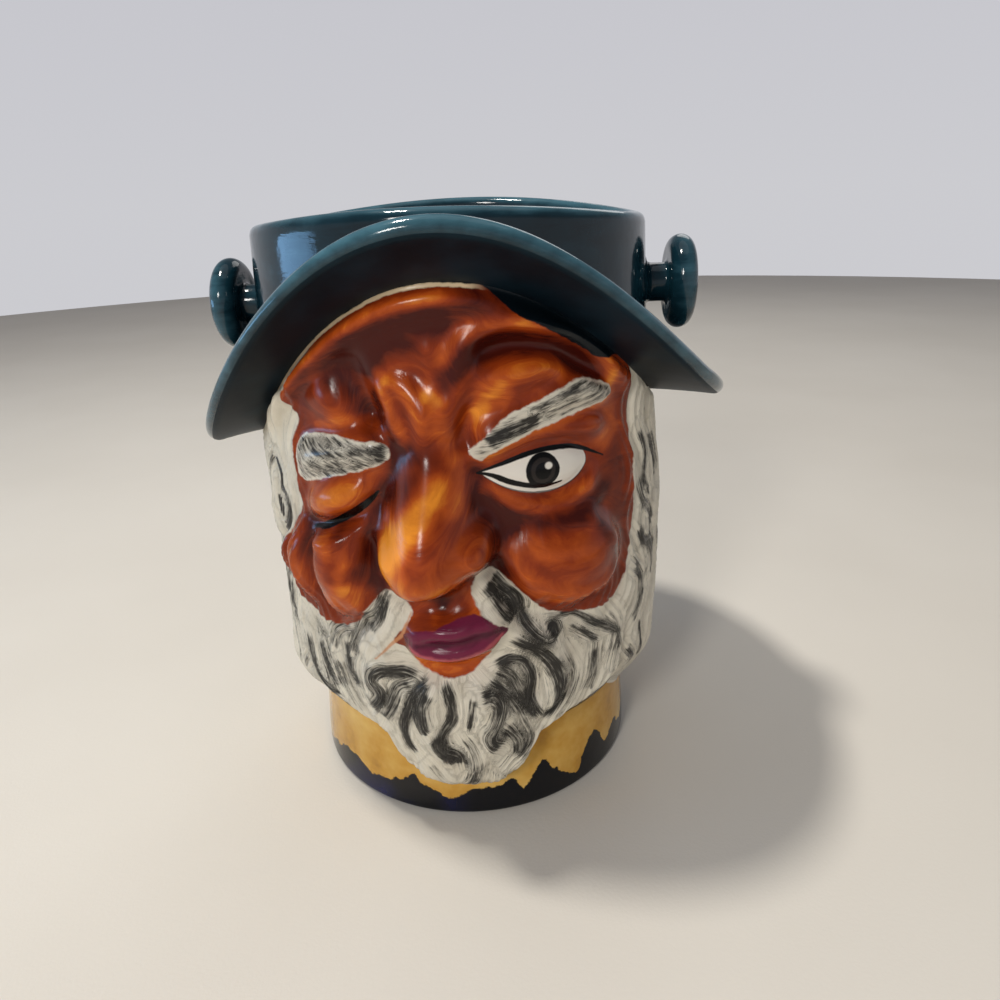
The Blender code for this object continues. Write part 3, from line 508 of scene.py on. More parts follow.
paint = {
    "outlines": {
        "face": [(12, 169), (-6, 170), (-20, 162), (-33, 150.5), (-41, 141), (-43.5, 137), (-38.5, 132.5),
                 (-41.5, 126), (-41.5, 113), (-41, 107), (-45, 100), (-53, 91), (-55.5, 84), (-51.5, 76),
                 (-42, 71.7), (-32.6, 70.7), (-25.2, 73.8), (-20.2, 80.4), (-15.5, 86.5), (-12.2, 87.5),
                 (-10, 84.5), (-8.2, 81.5), (-9.6, 78), (-13.5, 72), (-13, 69.6), (-10.2, 69), (-8.8, 64.6),
                 (-5, 61), (0.4, 59.3), (5.6, 61.3), (9.8, 66.4), (10.6, 70), (12.4, 73.5), (9.6, 79),
                 (7, 84), (6.2, 89), (8.6, 93.5), (12, 92.4), (15.7, 89), (18.7, 85), (24.6, 78.5),
                 (34.9, 74.4), (45.5, 73.6), (50.2, 79), (53, 89.2), (56, 100), (56, 110), (56.5, 119.7),
                 (55.5, 127), (57, 138), (52, 148), (44, 157), (30, 164)],
        "left brow": [(-38.4, 127.6), (-31.5, 129.6), (-24.6, 130.2), (-18.6, 129.5), (-13.6, 129.4),
                      (-11.3, 127.9), (-11.4, 125.2), (-13.8, 123.2), (-20, 120.8), (-28, 118.4),
                      (-38.4, 115), (-40.8, 120.8)],
        "right brow": [(7.4, 126.3), (10, 129.3), (13, 132.6), (17.4, 136.2), (22.8, 138.3), (28.4, 140.6),
                       (34.8, 142.4), (40.6, 141), (46.4, 138), (46, 135.4), (38, 133.8), (30.6, 132.4),
                       (24, 131), (17, 128.4), (12.4, 126.2), (9.8, 124.2)],
        "eye white": [(10.2, 120.4), (14.7, 122.4), (21, 124.4), (27, 124.7), (33.2, 123.8), (37.3, 122.1),
                      (37.8, 119.4), (36, 116.6), (32.4, 114.2), (27, 113.1), (21.4, 113.8), (16, 116)],
        "lips": [(-10.9, 74), (-7.1, 77.3), (-2.8, 78.4), (1, 80.2), (4.7, 81.7), (8.6, 81.4), (11.6, 78.4),
                 (14.6, 75.2), (12, 72.6), (9.5, 70.6), (5.1, 68), (-0.2, 66.8), (-5.5, 67.7), (-9.2, 70.2)],
        "lower lip": [(-9.5, 71.6), (-5, 70), (0, 69.3), (5, 70.4), (9.5, 72.8), (13, 74.6), (11.5, 71.6),
                      (6, 66.6), (-0.2, 65.2), (-6.5, 66.6)],
    },
    # places, half width
    "lines": {
        "upper lash": ([(9.1, 120.6), (12.4, 121.8), (16.7, 123.3), (21, 124.5), (25.7, 125), (32.2, 124.3),
                        (37.2, 122.6), (40.4, 121), (44, 119)], 0.62),
        "inner corner": ([(9.1, 120.6), (13, 119.6), (16.5, 117.8), (20.8, 116.2), (25.3, 115.3),
                          (29.6, 115.6)], 0.8),
        "lower lid": ([(10.8, 119.4), (14.7, 116.7), (19, 114.7), (24, 113.4), (29.2, 113.3), (34.2, 115),
                       (37.3, 118), (38.2, 121)], 0.24),
        "closed lash": ([(-35.4, 102.2), (-31, 103.6), (-26.4, 106), (-21.8, 109.2), (-18, 112.2),
                         (-15, 115.6)], 1.05),
        "ear curl": ([(-53.5, 105), (-55, 102.5), (-56, 99.5)], 1.5),
        "mouth line": ([(-7, 72.6), (0, 74), (7, 76), (13.5, 76)], 1.3),
        "mouth corner": ([(-19.3, 64.2), (-15.1, 69.2), (-11.5, 73.4), (-10, 77), (-8.6, 81)], 0.5),
    },
    "lineTaper": 0.3,
    "lineEnd": 0.4,            # a line's ends are this share of its width
    "lineReach": 2.5,
    "eye": {"iris": (24.5, 119.7, 1), "glint": (25.9, 120.9, 1.2)},    # angle, height, how flat
    # places, half width, strength
    "strokes": [
        ([(-4.9, 60), (-9.4, 54.2), (-12.7, 44.4), (-13.3, 36.4), (-10.7, 30.4)], 1.3, 1),
        ([(-6.3, 57), (-8.1, 51.1), (-7.7, 44.3), (-6.4, 41.9)], 2.5, 0.95),
        ([(-1.9, 59.7), (-0.5, 53.2), (-0.3, 46.5), (-3.5, 39.6), (-1.8, 34.4), (-1.2, 29.1)], 1.3, 1),
        ([(-7.8, 59), (-12.5, 61.1), (-18.3, 60.3), (-21.3, 56.6), (-19.1, 51.4), (-24, 44.6)], 2, 0.85),
        ([(-10.4, 57.4), (-14.2, 55.1), (-16.7, 48.6), (-19.1, 43.5)], 2.3, 0.75),
        ([(-4, 41.3), (-3.1, 36.2), (0.2, 32.7), (0.6, 29.2)], 2, 0.75),
        ([(6.8, 54.4), (10.2, 54.7), (12.4, 50.2), (11.1, 44.6), (9.2, 39.8), (12.5, 33.9)], 1.9, 0.8),
        ([(5.2, 54.6), (4.3, 47.2), (3.5, 43)], 0.9, 0.8),
        ([(8.8, 59.1), (14.4, 52.4), (18.4, 42), (19.5, 33.8), (15, 27.1)], 1.9, 0.62),
        ([(12.9, 42.6), (16.4, 35.6), (16.9, 30.1)], 2.2, 0.7),
        ([(14.1, 71.9), (21, 67.5), (25.8, 60.3), (27.4, 53.1), (26.4, 45.8), (22.8, 40.4)], 1.9, 1),
        ([(10.5, 62), (15.1, 64.3), (18.5, 62.6), (20.2, 56.5), (19.5, 49.2), (22.5, 42.3)], 1.5, 1),
        ([(11.6, 61.8), (14.9, 58.7), (17.1, 52.4), (20, 45.6)], 2, 0.8),
        ([(10.6, 90.5), (13.4, 86.4), (16.6, 82.5), (17.2, 77.5)], 2.6, 1),
        ([(12.2, 85), (14.6, 80.6), (16.6, 77.2)], 1.8, 0.9),
        ([(17.6, 79.5), (19.9, 74.2), (23.5, 70.5), (27.4, 69.7)], 1.4, 0.8),
        ([(24.5, 72), (26.5, 72.6), (27.2, 69.2)], 1.7, 0.9),
        ([(26.6, 75.8), (32.9, 74.3), (40, 68.1), (47.7, 61.7), (50.2, 54.3)], 1.1, 0.8),
        ([(31.4, 70.9), (35.9, 66.6), (41, 61.8)], 0.8, 0.75),
        ([(40.2, 59.5), (39.4, 51), (37, 44.7)], 2.2, 0.62),
        ([(-48.8, 60.8), (-46.1, 48.6), (-40.8, 44.3), (-35.3, 43.1)], 1.4, 0.85),
        ([(-42.3, 61.1), (-39.5, 50.9), (-37.1, 45.8)], 1.6, 0.7),
        ([(-30.6, 65.5), (-29.9, 56.2), (-26.5, 51.6)], 1.1, 0.8),
        ([(-12.8, 88.1), (-15.6, 83.2), (-17.7, 76.7), (-21, 71.8)], 1.5, 0.72),
        ([(-15.4, 85.5), (-18.4, 79.6), (-22.8, 75.5), (-26.6, 67.2), (-29, 62)], 2, 0.68),
        ([(-27, 72), (-33, 68), (-36, 61)], 1.7, 0.6),
        ([(-11.2, 92.6), (-10.2, 89.6), (-7.6, 87.2)], 0.7, 0.9),
        ([(-51.6, 109.5), (-48.6, 106.5), (-48.2, 101), (-52.5, 95.8), (-58, 95)], 1, 1.5),
        ([(-54.5, 104.5), (-56, 99.5)], 2.2, 2),
        ([(-54, 118), (-51, 113), (-52, 108)], 1.2, 1.2),
        ([(61.5, 122), (65, 114), (63, 106), (66, 99)], 1.3, 0.85),
        ([(59.5, 108), (61, 100), (66, 95), (69, 88)], 1.6, 0.85),
        ([(58, 92), (62, 86), (68, 84), (72, 77)], 1.4, 0.8),
        ([(56, 80), (61, 74), (60, 66), (55, 60)], 1.5, 0.75),
        ([(54, 52), (58, 46), (60, 39)], 1.4, 0.7),
        ([(-57, 118), (-62, 112), (-64, 104)], 1.3, 0.75),
        ([(-57, 80), (-62, 73), (-61, 64), (-56, 57)], 1.5, 0.75),
        ([(-52, 50), (-56, 43), (-57, 36)], 1.4, 0.7),
        ([(-44, 70), (-40, 63), (-38, 55), (-34, 47)], 2.4, 0.42),
        ([(-24, 66), (-27, 57), (-24, 47)], 2.4, 0.45),
        ([(-34, 58), (-31, 49), (-26, 41)], 2, 0.5),
        ([(30, 62), (33, 54), (31, 46), (26, 38)], 2.2, 0.5),
        ([(44, 70), (48, 63), (46, 54)], 2.2, 0.4),
        ([(2, 40), (5, 32), (4, 22), (1, 17)], 1.6, 0.55),
        ([(-8, 28), (-5, 21), (-1, 17)], 1.4, 0.5),
        ([(11.2, 128.4), (14.5, 131), (19.5, 132.6), (24.3, 134.4)], 1.8, 1),
        ([(22.5, 136), (28.4, 138.6), (37, 140.6)], 0.9, 0.8),
        ([(25.6, 134.4), (32, 136.4), (40.4, 137.2)], 0.9, 0.66),
        ([(-35, 121.5), (-29, 121.2), (-22.5, 123.6)], 1.1, 0.8),
        ([(-34, 125), (-27, 125.2), (-17, 126.6), (-10.5, 128.6)], 1, 0.8),
        ([(-33, 117.9), (-26, 120), (-18, 122.6)], 0.8, 0.7),
        ([(-26, 128.6), (-18.5, 128), (-12, 126)], 0.8, 0.7),
    ],
    # painted highlights and painted shades on the skin, partly the brush's own marks: places, half width,
    # strength
    "glows": [
        ([(3, 150.4), (4.7, 154.5), (8.3, 156.9), (13.9, 158.1), (20.1, 157.4), (25.1, 155.4)], 2.4, 0.9),
        ([(29.7, 155.3), (37, 152.2), (43.3, 146.6), (46.2, 140.8)], 3.2, 0.9),
        ([(10.5, 137.2), (12.8, 143.2), (18.2, 146.3), (25.3, 147.3), (30.1, 145.3)], 3, 1),
        ([(8.8, 133.5), (11.1, 137.1), (15.4, 140.5)], 3, 1),
        ([(-12.3, 146.5), (-11.4, 140.9), (-8.9, 135.3), (-7.3, 130.8)], 1.9, 0.9),
        ([(-10, 145.4), (-7, 143.6), (-4.2, 139.3), (-2.5, 134.2)], 1.7, 0.8),
        ([(-0.3, 142.4), (0.6, 136.8), (2.1, 131.7), (3.3, 126.4)], 2.6, 0.7),
        ([(-1.7, 141.3), (-0.1, 141.9), (2.4, 140)], 1.4, 0.6),
        ([(-0.2, 120.2), (-2.7, 114.3), (-6.3, 108.8), (-10.1, 102.3)], 3.4, 1.7),
        ([(-11.3, 110.3), (-12, 104.6), (-11.3, 97.6)], 3.2, 1),
        ([(5.3, 124.3), (5.7, 119.1), (4, 114.6)], 2.6, 0.8),
        ([(-8, 95.5), (-1, 93), (6, 96.5)], 4.6, 0.6),
        ([(23.3, 99.5), (28.7, 99.5), (33.9, 96.3)], 4, 0.55),
        ([(14.8, 100.6), (17.4, 93.5), (22.4, 87), (30.5, 82.8), (40.8, 82.5)], 3, 0.6),
        ([(11.3, 116.4), (15.5, 112.7), (22.2, 109.8), (29.6, 109.7), (37.9, 112)], 2.2, 0.9),
        ([(10.5, 125.2), (17, 129.7), (24.8, 132), (32.8, 134.1), (42, 136)], 3, 1.1),
        ([(45.8, 138), (47.1, 128.7), (44.4, 123)], 3.4, 0.7),
        ([(-32.3, 110.7), (-24.3, 114.6), (-14.9, 120.1)], 5.2, 0.95),
        ([(-31.7, 131.5), (-22.5, 134.4), (-15.7, 133.4), (-12.3, 131.6)], 1.5, 0.8),
        ([(-36.6, 88.7), (-31, 81.1), (-21.1, 85.7)], 4.2, 0.7),
        ([(-28.2, 101.1), (-24.5, 97.6), (-22.6, 90.5)], 3, 0.7),
        ([(-47, 98), (-44, 90), (-43, 82)], 4, 0.5),
        ([(5.3, 88.2), (7.5, 82.7)], 2, 0.8),
        ([(-8.6, 79.8), (-3.9, 84.8), (-2.4, 81.8)], 1.6, 0.6),
        ([(-8, 65.5), (0, 62.2), (8, 66)], 3.4, 1),
    ],
    "shades": [
        ([(-24, 146), (-16.9, 154.3), (-9.3, 160.3), (0, 163.6), (9.3, 164.3), (14.5, 162.2)], 5.2, 1),
        ([(-16.3, 149), (-11.3, 153.4), (-3.5, 156.6), (1.4, 159.1)], 3.8, 1),
        ([(8.2, 151.6), (14.1, 153.4), (22.4, 153.2), (30.2, 151), (37.9, 146.2), (41.9, 140.8)], 3.6, 1.5),
        ([(2.7, 144.9), (4.3, 146.7), (5.4, 147.8)], 2.8, 1.2),
        ([(-14.2, 140.9), (-12.7, 135.2), (-9.9, 130.1)], 1.8, 0.9),
        ([(-20, 140.4), (-17.4, 135.4), (-14, 131.7)], 2.8, 0.8),
        ([(-8.5, 128.5), (-4.2, 126.7), (-0.3, 126.7), (-2.6, 121.5), (-7.3, 117.4)], 2.8, 0.8),
        ([(8.7, 121.1), (9.5, 114.3), (12, 109.8), (16.2, 105)], 3, 1),
        ([(12, 111.9), (20.1, 107.4), (29.1, 106.3), (38, 107.9), (43.5, 109.7)], 3.2, 1),
        ([(13.6, 103.5), (12.3, 97.9), (13.8, 91.7)], 2.8, 1.1),
        ([(-12.3, 116.9), (-15.2, 110.3), (-16.8, 103.6), (-16.6, 95.5)], 3, 1),
        ([(-25.3, 103.7), (-24.6, 97.9), (-25.8, 91.5)], 1.8, 0.6),
        ([(-20.9, 91.7), (-17.3, 88.5), (-15.8, 84.1)], 2.8, 0.9),
        ([(-36, 103), (-36.8, 92), (-34.5, 80)], 2.4, 0.9),
        ([(-2.1, 88.6), (-0.7, 84.5)], 2.6, 0.8),
        ([(38, 102), (42.2, 94.2), (41.5, 89)], 2.2, 0.6),
        ([(-12.9, 116.1), (-10.6, 120.4), (-8.7, 126.5)], 2, 0.9),
        ([(-33, 150), (-36, 142), (-38, 135)], 4, 0.6),
        ([(49, 116), (50, 108), (49, 101)], 4.5, 0.5),
        ([(-4, 91), (3, 90), (9, 93.5)], 2.4, 0.7),
    ],
    "reliefShade": 2.2,        # the painted shade of the hollows and painted light of the ridges, partly glaze that pools and thins, is full over this depth of carving, in units
    "creamLine": 1.1,          # bare slip along the hat's edge, in units
    "edgeGlow": (3.4, 2.6, 0.9),    # a lighter stripe of skin below it: distance, half width, strength
    "edgeGlowAngles": (2, 10),      # it ends between these
    "overlap": 5.2,            # how far the hat's glaze runs over the forehead on the right
    "overlapAngles": (11, 20),
    "overlapEnds": (40, 52),
}

brush = {
    "lockGrain": (8, 0.13),    # the bristles' grain on the plain locks, across and up
    "strokeGrain": (1.15, 0.08),    # and across and along a stroke
    "apart": (17, 5),          # keeps one stroke's grain clear of the next
    "strokeEdge": (0.3, 2.3),  # a stroke fades between these shares of its half width
    "strokeEnds": (7, 0.2),    # how sharply its ends come in, and how full they begin
    "markEdge": (0.25, 1.6),   # and a mark on the skin between these
    "skinGrain": (0.55, 0.12, 0.05),    # the skin's grain follows the relief, and up and across it
}

sideHair = {
    "seed": 5,
    "strokes": 96,             # strokes along the locks at the sides and the back
    "fromAngle": 60,
    "halfWidth": (0.8, 1.9),
    "strength": (0.45, 0.9),
    "length": (10, 34),
    "lowest": 36,
    "belowHat": 5,
    "places": 6,
}

brows = {
    "slant": {"left_brow": -24, "right_brow": 14},
    "closeness": 0.85,
    "length": 0.1,
    "hatching": {"left_brow": 0.62, "right_brow": 0.54},
    "margin": (-0.5, 1.4),     # the hatching thins out in this distance from a brow's edge
    "reach": -2,               # and its grain runs on this far outside the edge
}


def outlineField(places, across, up, margin=6):
    # signed distance in units, positive inside the outline
    loop = curveThrough(unrolled(places), closed=True)
    field = np.full(across.shape, -float(margin))
    close = near(loop, across, up, margin)
    x, y = across[close], up[close]
    nearest = nearestOn(loop, x, y, closed=True)[0]
    inside = np.zeros(x.shape, dtype=bool)
    for (x0, y0), (x1, y1) in zip(loop, np.roll(loop, -1, axis=0)):
        if y0 != y1:
            inside ^= ((y0 > y) != (y1 > y)) & (x < (x1 - x0) * (y - y0) / (y1 - y0) + x0)
    field[close] = np.where(inside, nearest, -nearest)
    return np.maximum(field, -margin)


def lineTrack(places, halfWidth, across, up, margin=9):
    # the signed distance to a line, how far its ends lie behind, and its half width there
    curve = curveThrough(unrolled(places))
    cross = np.full(across.shape, float(margin))
    beyond = np.zeros(across.shape)
    width = np.full(across.shape, float(halfWidth))
    close = near(curve, across, up, margin)
    x, y = across[close], up[close]
    nearest = np.full(x.shape, np.inf)
    last = len(curve) - 2
    for index, (start, stop) in enumerate(zip(curve, curve[1:])):
        run = stop - start
        length = math.hypot(*run)
        along = ((x - start[0]) * run[0] + (y - start[1]) * run[1]) / length
        aside = (run[0] * (y - start[1]) - run[1] * (x - start[0])) / length
        past = np.where(along < 0, -along, np.maximum(along - length, 0))
        distance = np.hypot(aside, past)
        closer = distance < nearest
        nearest = np.where(closer, distance, nearest)
        atEnd = ((index == 0) & (along < 0)) | ((index == last) & (along > length))
        sideways = np.where(atEnd, aside, np.sign(aside) * distance)
        share = (index + np.clip(along / length, 0, 1)) / (last + 1)
        fullness = ease(np.minimum(share, 1 - share) / paint["lineTaper"])
        taper = paint["lineEnd"] + (1 - paint["lineEnd"]) * fullness
        cross[close] = np.where(closer, sideways, cross[close])
        beyond[close] = np.where(closer, np.where(atEnd, past, 0), beyond[close])
        width[close] = np.where(closer, halfWidth * taper, width[close])
    # far from the line the side may change from point to point, so the distance is kept in both
    beyond = np.maximum(beyond, np.abs(cross) - paint["lineReach"])
    return np.stack([cross, beyond, width], axis=-1)


def markField(mark, across, up):
    # a soft mark on the skin, for the painted highlights and painted shades
    places, halfWidth, strength = mark
    curve = curveThrough(unrolled(places))
    field = np.zeros(across.shape)
    close = near(curve, across, up, halfWidth * brush["markEdge"][1])
    nearest = nearestOn(curve, across[close], up[close])[0]
    field[close] = strength * (1 - between(nearest / halfWidth, *brush["markEdge"]))
    return field


def sideStrokes():
    # strokes along the wavy locks at the sides and the back
    chance = np.random.default_rng(sideHair["seed"])
    strokes = []
    for index in range(sideHair["strokes"]):
        share = (index + chance.uniform(0, 1)) / sideHair["strokes"]
        start = sideHair["fromAngle"] + (360 - 2 * sideHair["fromAngle"]) * share
        start = start if start < 180 else start - 360
        length = chance.uniform(*sideHair["length"])
        highest = float(junctionAt(start)) / unit - sideHair["belowHat"]
        top = chance.uniform(sideHair["lowest"] + length, highest)
        heights = np.linspace(top, top - length, sideHair["places"])
        turns = 2 * math.pi * heights / locks["wave"] + locks["shift"] * math.radians(start)
        places = [(start - locks["sway"] * math.sin(turn), height) for turn, height in zip(turns, heights)]
        halfWidth = chance.uniform(*sideHair["halfWidth"])
        strokes.append((places, halfWidth, chance.uniform(*sideHair["strength"])))
    return strokes


def brushFields(angle, up):
    # how much ink covers a place, its coordinates across and along the brush, and the combed strands
    across = angle * unitsPerDegree
    sideGrain, upGrain = brush["lockGrain"]
    acrossGrain, alongGrain = brush["strokeGrain"]
    sharpness, ending = brush["strokeEnds"]
    ink = np.zeros(angle.shape)
    grain = np.stack([lockPlace(angle, up) * sideGrain, up * upGrain, 0 * up], axis=-1)
    comb = np.zeros(angle.shape)
    combed = np.zeros(angle.shape)
    closest = np.full(angle.shape, np.inf)
    for index, (places, halfWidth, strength) in enumerate(paint["strokes"] + sideStrokes()):
        curve = curveThrough(unrolled(places))
        reach = halfWidth * locks["combReach"] + 1
        close = near(curve, across, up, reach)
        nearest, share = nearestOn(curve, across[close], up[close])
        cross = lineTrack(places, halfWidth, across, up)[..., 0][close]
        ends = ease(np.minimum(share, 1 - share) * sharpness + ending)
        cover = np.minimum(strength * ends * (1 - between(nearest / halfWidth, *brush["strokeEdge"])), 1)
        ink[close] = 1 - (1 - ink[close]) * (1 - cover)
        length = np.linalg.norm(np.diff(curve, axis=0), axis=1).sum()
        ratio = nearest / reach
        mine = (ratio < closest[close]) & (ratio < 1)
        there = tuple(place[mine] for place in np.nonzero(close))
        grain[there] = np.stack([cross * acrossGrain + index * brush["apart"][0], share * length * alongGrain,
                                 0 * share + index * brush["apart"][1]], axis=-1)[mine]
        comb[there] = np.cos(2 * math.pi * cross[mine] / locks["combWidth"])
        combed[there] = 1 - between(ratio[mine], *locks["combEdge"])
        closest[there] = ratio[mine]
    return ink, grain, comb, combed


def paintFields(angle, height, relief, ink, grain):
    up = height / unit
    across = angle * unitsPerDegree
    fields = {"ink": ink, "grain": grain}
    for name, places in paint["outlines"].items():
        fields[name.replace(" ", "_")] = outlineField(places, across, up)
    for name, (places, halfWidth) in paint["lines"].items():
        fields[name.replace(" ", "_")] = lineTrack(places, halfWidth, across, up)
    for name, (middle, level, flatness) in paint["eye"].items():
        fields[name] = np.stack([across - middle * unitsPerDegree, (up - level) * flatness, 0 * up], axis=-1)
    # short slanting hatches over the brows
    for name, turn in brows["slant"].items():
        slant = math.radians(turn)
        inside = fields[name] > brows["reach"]
        grain[..., 0][inside] = (up * math.cos(slant) - across * math.sin(slant))[inside] * brows["closeness"]
        grain[..., 1][inside] = (across * math.cos(slant) + up * math.sin(slant))[inside] * brows["length"]
        ink[:] = np.maximum(ink, brows["hatching"][name] * between(fields[name], *brows["margin"]))
    # painted highlights on the ridges and painted shades in the hollows of the skin
    glow = sum(markField(mark, across, up) for mark in paint["glows"])
    shade = sum(markField(mark, across, up) for mark in paint["shades"])
    belowHat = junctionAt(angle) / unit - up
    distance, halfWidth, strength = paint["edgeGlow"]
    stripe = np.clip(1 - ((belowHat - distance) / halfWidth) ** 2, 0, 1)
    stripe = stripe * (1 - between(angle, *paint["edgeGlowAngles"]))
    fields["glow"] = glow + strength * stripe - shade * (1 - stripe)
    fields["relief"] = np.tanh(relief / paint["reliefShade"])
    overlap = between(angle, *paint["overlapAngles"]) * (1 - between(angle, *paint["overlapEnds"]))
    fields["hatPaint"] = np.where(angle > 0, paint["overlap"] * overlap - belowHat, -belowHat)
    fields["creamLine"] = paint["creamLine"] - belowHat
    byRelief, byHeight, fine = brush["skinGrain"]
    fields["brush"] = np.stack([relief * byRelief + up * byHeight, across * fine, up * fine], axis=-1)
    fields["angle"] = angle
    return fields


def wrapped(columns):
    return (columns + 180) % 360 - 180


def headColumns():
    front = np.linspace(-head["frontAngle"], head["frontAngle"], head["frontColumns"])
    back = np.linspace(head["frontAngle"], 360 - head["frontAngle"], head["backColumns"] + 2)[1:-1]
    return np.concatenate([front, back])


def makeHead():
    columns = wrapped(headColumns())
    shape = (head["rows"], len(columns))
    edge = beardEdgeAt(columns)
    top = junctionAt(columns)
    angle = np.broadcast_to(columns, shape)
    height = edge + (top - edge) * np.linspace(0, 1, head["rows"])[:, None]
    field, lock, strand = carve(angle, height)
    ink, grain, comb, combed = brushFields(angle, height / unit)
    combed = soften(combed, locks["blendSoftness"])
    strand = strand * (1 - combed) + soften(comb, locks["combSoftness"]) * combed
    field = soften(field, head["softness"])
    backwards = between(np.abs(angle), *head["backAngles"])
    strandRise = locks["strandRise"] + (locks["backStrandRise"] - locks["strandRise"]) * backwards
    lock = soften(lock * (1 - locks["combedShare"] * combed), locks["lockSoftness"])
    hair = hairShare(angle, height / unit) * (lock + strandRise * strand)
    # the relief paints shade into the hollows and light onto the ridges of the skin
    relief = field - soften(field, head["reliefReach"])
    underHat = ease((top - height) / (head["hatShadow"] * unit))
    carved = plainRadiusAt(angle, height) + unit * (field + hair) * underHat
    swell = np.sin(np.clip((height - edge) / ledgeAt(columns), 0, 1) * math.pi / 2)
    collar = collarRadiusAt(height)
    radius = collar + (carved - collar) * swell
    piece = gridPiece("head", roundPoints(angle, radius, height))
    storeValues(piece, shape, **paintFields(angle, height, relief, ink, grain), hairRelief=hair)
    return piece, columns, radius[-1]


# angle and height of the ragged edge of the foot's dark glaze
ragged = [(-172, 9), (-160, 14), (-149, 8), (-137, 12), (-125, 7), (-113, 14), (-102, 8), (-92, 11),
          (-80, 6.5), (-68, 4), (-57, 9), (-48.5, 12.2), (-39.4, 11.2), (-33.9, 7.7), (-27.9, 9.3), (-22, 11),
          (-17, 14.3), (-12, 11), (-7.7, 8.7), (-4.5, 6.5), (2, 9.6), (12, 11), (17, 13), (20, 8), (24, 13.4),
          (27.5, 17.7), (31, 13), (37.5, 7.2), (42, 6.3), (46, 13.7), (51, 17.8), (58, 8.8), (66, 12),
          (74, 7), (83, 13.5), (92, 8.5), (101, 15), (111, 8), (122, 12.5), (134, 7.5), (145, 14), (157, 9),
          (168, 13), (180, 8.5)]


def makeCollar(columns):
    # the foot's flat underside, the rounded edge and the mustard collar up to the beard's edge
    columns = columns[::-1]
    edge = beardEdgeAt(columns)
    corner = bucket["footEdge"]
    flat = bucket["footRadius"] - corner
    rows = bucket["rows"]
    around = np.radians(np.linspace(bucket["footTurn"], 0, rows["footEdge"]))[:, None]
    height = corner + (edge - corner) * rowsBetween(0, 1, rows["collar"])
    sections = [profileOf(flat * np.linspace(bucket["capShare"], 1, rows["foot"])[:, None], 0 * edge),
                profileOf(flat + corner * np.cos(around), corner + corner * np.sin(around) + 0 * edge),
                profileOf(collarRadiusAt(height), height)]
    radius, height = np.moveaxis(np.concatenate(sections)[::-1], -1, 0)
    piece = gridPiece("collar", roundPoints(columns, radius, height), capEnd=True)
    storeValues(piece, radius.shape, height=height / unit, rightward=np.sin(np.radians(columns)),
                peaks=np.interp(columns, *zip(*ragged), period=360), belowBeard=(edge - height) / unit)
    return piece


def bend(start, middle, stop, count):
    # a bow from start to stop that passes through middle
    return bow(start, 2 * middle - (start + stop) / 2, stop, count + 1)


def bow(start, pull, stop, count):
    t = rowsBetween(0, 1, count)[..., None]
    return (1 - t) ** 2 * start + 2 * t * (1 - t) * pull + t ** 2 * stop


def innerRadiusAt(angle, height):
    rim = bucket["rimRadius"] - bucket["rimThickness"]
    neck = collarRadiusAt(height) + bucket["neckSlope"] * np.maximum(height - head["nape"], 0)
    below = np.minimum(plainRadiusAt(angle, height), neck) - bucket["wall"]
    return below + (rim - below) * between(height / bucket["rimHeight"], bucket["cavityTurn"], 1)


